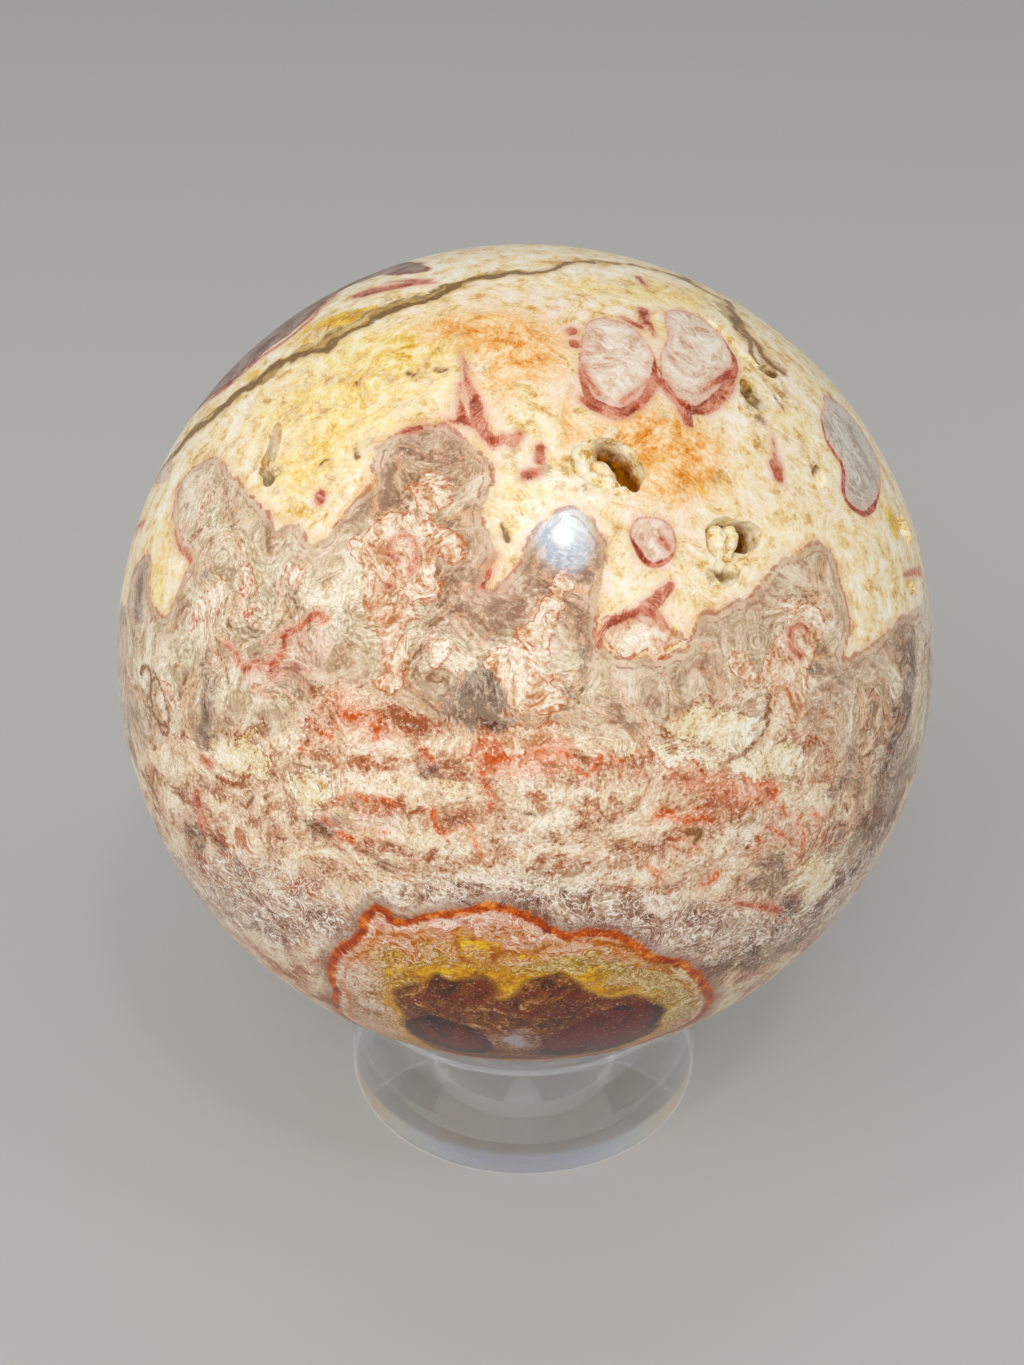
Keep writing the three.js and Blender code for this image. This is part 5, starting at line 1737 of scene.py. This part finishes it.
def vug_color(f, t, below, sunk):
    """Cream and tan crystals that line the vugs, turning dark brown further in: partly their own brown,
    partly painted shade.
    """
    lining = f.ramp(t.sugar + (t.grain - 0.5) * 0.2, [
        (0.36, paint(206, 164, 110)), (0.43, paint(240, 216, 170)), (0.5, paint(250, 238, 206)),
        (0.6, paint(255, 250, 236)),
    ])
    # Painted shade with the crystals' own brown: the lining darkens to brown further into each hollow.
    deep_brown_and_shade = f.smooth(sunk + (t.mottle - 0.5) * 3, 1.4, 4)
    lining = f.blend(deep_brown_and_shade * 0.9, lining, f.ramp(t.sugar, [
        (0.4, paint(104, 44, 6)), (0.5, paint(160, 88, 18)), (0.6, paint(214, 140, 44)),
    ]))
    lining = f.blend(f.smooth(f.field("stain_umber"), 0.1, 0.6) * 0.85, lining, umber_color(f, t))
    return f.blend(f.smooth(sunk, 0.02, 0.12), below, lining)


# The ring stand


def turned_ring(name, section):
    """A closed section of (radius, height) corners turned about Z: a circle is extruded round it."""
    first_radius, first_height = section[0]
    bpy.ops.mesh.primitive_circle_add(
        vertices=RING_STEPS, radius=first_radius * MM, location=(0, 0, first_height * MM)
    )
    ring = bpy.context.object
    ring.name = name
    place_mesh(ring, Matrix.Identity(4))
    bpy.context.tool_settings.mesh_select_mode = (False, True, False)
    bpy.ops.object.mode_set(mode="EDIT")
    bpy.ops.mesh.select_all(action="SELECT")
    radius, height = first_radius, first_height
    for next_radius, next_height in section[1:] + section[:1]:
        rise = (0, 0, (next_height - height) * MM)
        bpy.ops.mesh.extrude_edges_move(TRANSFORM_OT_translate={"value": rise})
        grow = next_radius / radius
        bpy.ops.transform.resize(value=(grow, grow, 1), center_override=(0, 0, next_height * MM))
        radius, height = next_radius, next_height
    bpy.ops.mesh.select_all(action="SELECT")
    bpy.ops.mesh.remove_doubles(threshold=0.01 * MM)
    bpy.ops.mesh.normals_make_consistent(inside=False)
    bpy.ops.object.mode_set(mode="OBJECT")
    return ring


def build_ring():
    section = [
        (RING_BORE_RADIUS, FOOT_BEVEL),
        (RING_BORE_RADIUS + FOOT_BEVEL, 0),
        (RING_OUTER_RADIUS, 0),
        (RING_OUTER_RADIUS, RING_HEIGHT),
        (SEAT_RADIUS, RING_HEIGHT),
        (RING_BORE_RADIUS, RING_HEIGHT - SEAT_DEPTH),
    ]
    ring = turned_ring("clear_ring", section)
    bevel = ring.modifiers.new("polished edges", "BEVEL")
    bevel.width = EDGE_ROUND * MM
    bevel.segments = EDGE_STEPS
    bevel.limit_method = "ANGLE"
    bevel.angle_limit = math.radians(BEVEL_ANGLE)
    apply_modifiers(ring)
    ring.select_set(True)
    bpy.ops.object.shade_smooth_by_angle(angle=math.radians(RING_CREASE_ANGLE))
    ring.select_set(False)
    return ring


def ring_finish():
    """Cast clear plastic, flame-polished, with a painted glow on its outer edges and painted caustic colours
    low down.
    """
    f = Finish("clear_acrylic")
    spot = f.node("ShaderNodeTexCoord", {}, {}, "Object")
    rough = 0.012 + f.smooth(f.noise(spot, 160, 3), 0.55, 0.75) * 0.03
    across = abs(f.node("ShaderNodeSeparateXYZ", {}, {"Vector": spot}, "X")) / MM
    height = f.node("ShaderNodeSeparateXYZ", {}, {"Vector": spot}, "Z") / MM
    outer = f.node("ShaderNodeVectorMath", {"operation": "MULTIPLY"}, {0: spot, 1: (1, 1, 0)})
    radius = f.node("ShaderNodeVectorMath", {"operation": "LENGTH"}, {0: outer}, "Value") / MM
    rim = f.smooth(radius, RING_OUTER_RADIUS - 0.7, RING_OUTER_RADIUS - 0.3)
    foot = f.smooth(height, 0.7, 0.2)
    ends = f.larger(foot, f.smooth(height, RING_HEIGHT - 0.7, RING_HEIGHT - 0.2))
    # Painted highlight: a pale bluish glow on the outer wall at its top and bottom edges.
    glow = f.blend(rim * ends * 0.5, (0, 0, 0, 1), (0.9, 0.95, 1, 1))
    # Painted caustic: rainbow colours of refracted light across the outer wall, blue at the front and back,
    # orange towards the sides.
    painted_caustic_colours = f.ramp(across / RING_OUTER_RADIUS, [
        (0, (0.1, 0.2, 0.5, 1)), (0.45, (0.25, 0.4, 0.6, 1)), (0.68, (0.55, 0.6, 0.5, 1)),
        (0.82, (0.6, 0.36, 0.1, 1)), (1, (0.1, 0.04, 0.02, 1)),
    ])
    # The band low on the outer wall where the painted caustic colours show.
    low = rim * f.smooth(height, 4.6, 3.4) * f.smooth(height, 0.3, 1.4)
    inputs = {
        "Base Color": (0.97, 0.99, 1, 1),
        "Transmission Weight": 1.0,
        "Alpha": 0.45,
        "IOR": 1.49,
        "Roughness": rough,
        # The painted glow and caustic colours are emitted, so the ring glows though it is no lamp.
        "Emission Color": f.blend(low * 0.8, glow, painted_caustic_colours),
        "Emission Strength": 0.5,
    }
    f.set(f.shader, inputs)
    return f.material


camera = add_camera()
add_lights(camera)
add_floor()

stone = build_stone()
stone.data.materials.clear()
stone.data.materials.append(stone_finish())
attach(stone, BODY)
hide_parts(STONE_NODE)

ring = build_ring()
ring.data.materials.append(ring_finish())
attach(ring, BODY)
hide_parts(RING_NODE)

bpy.context.scene.view_settings.view_transform = "Standard"
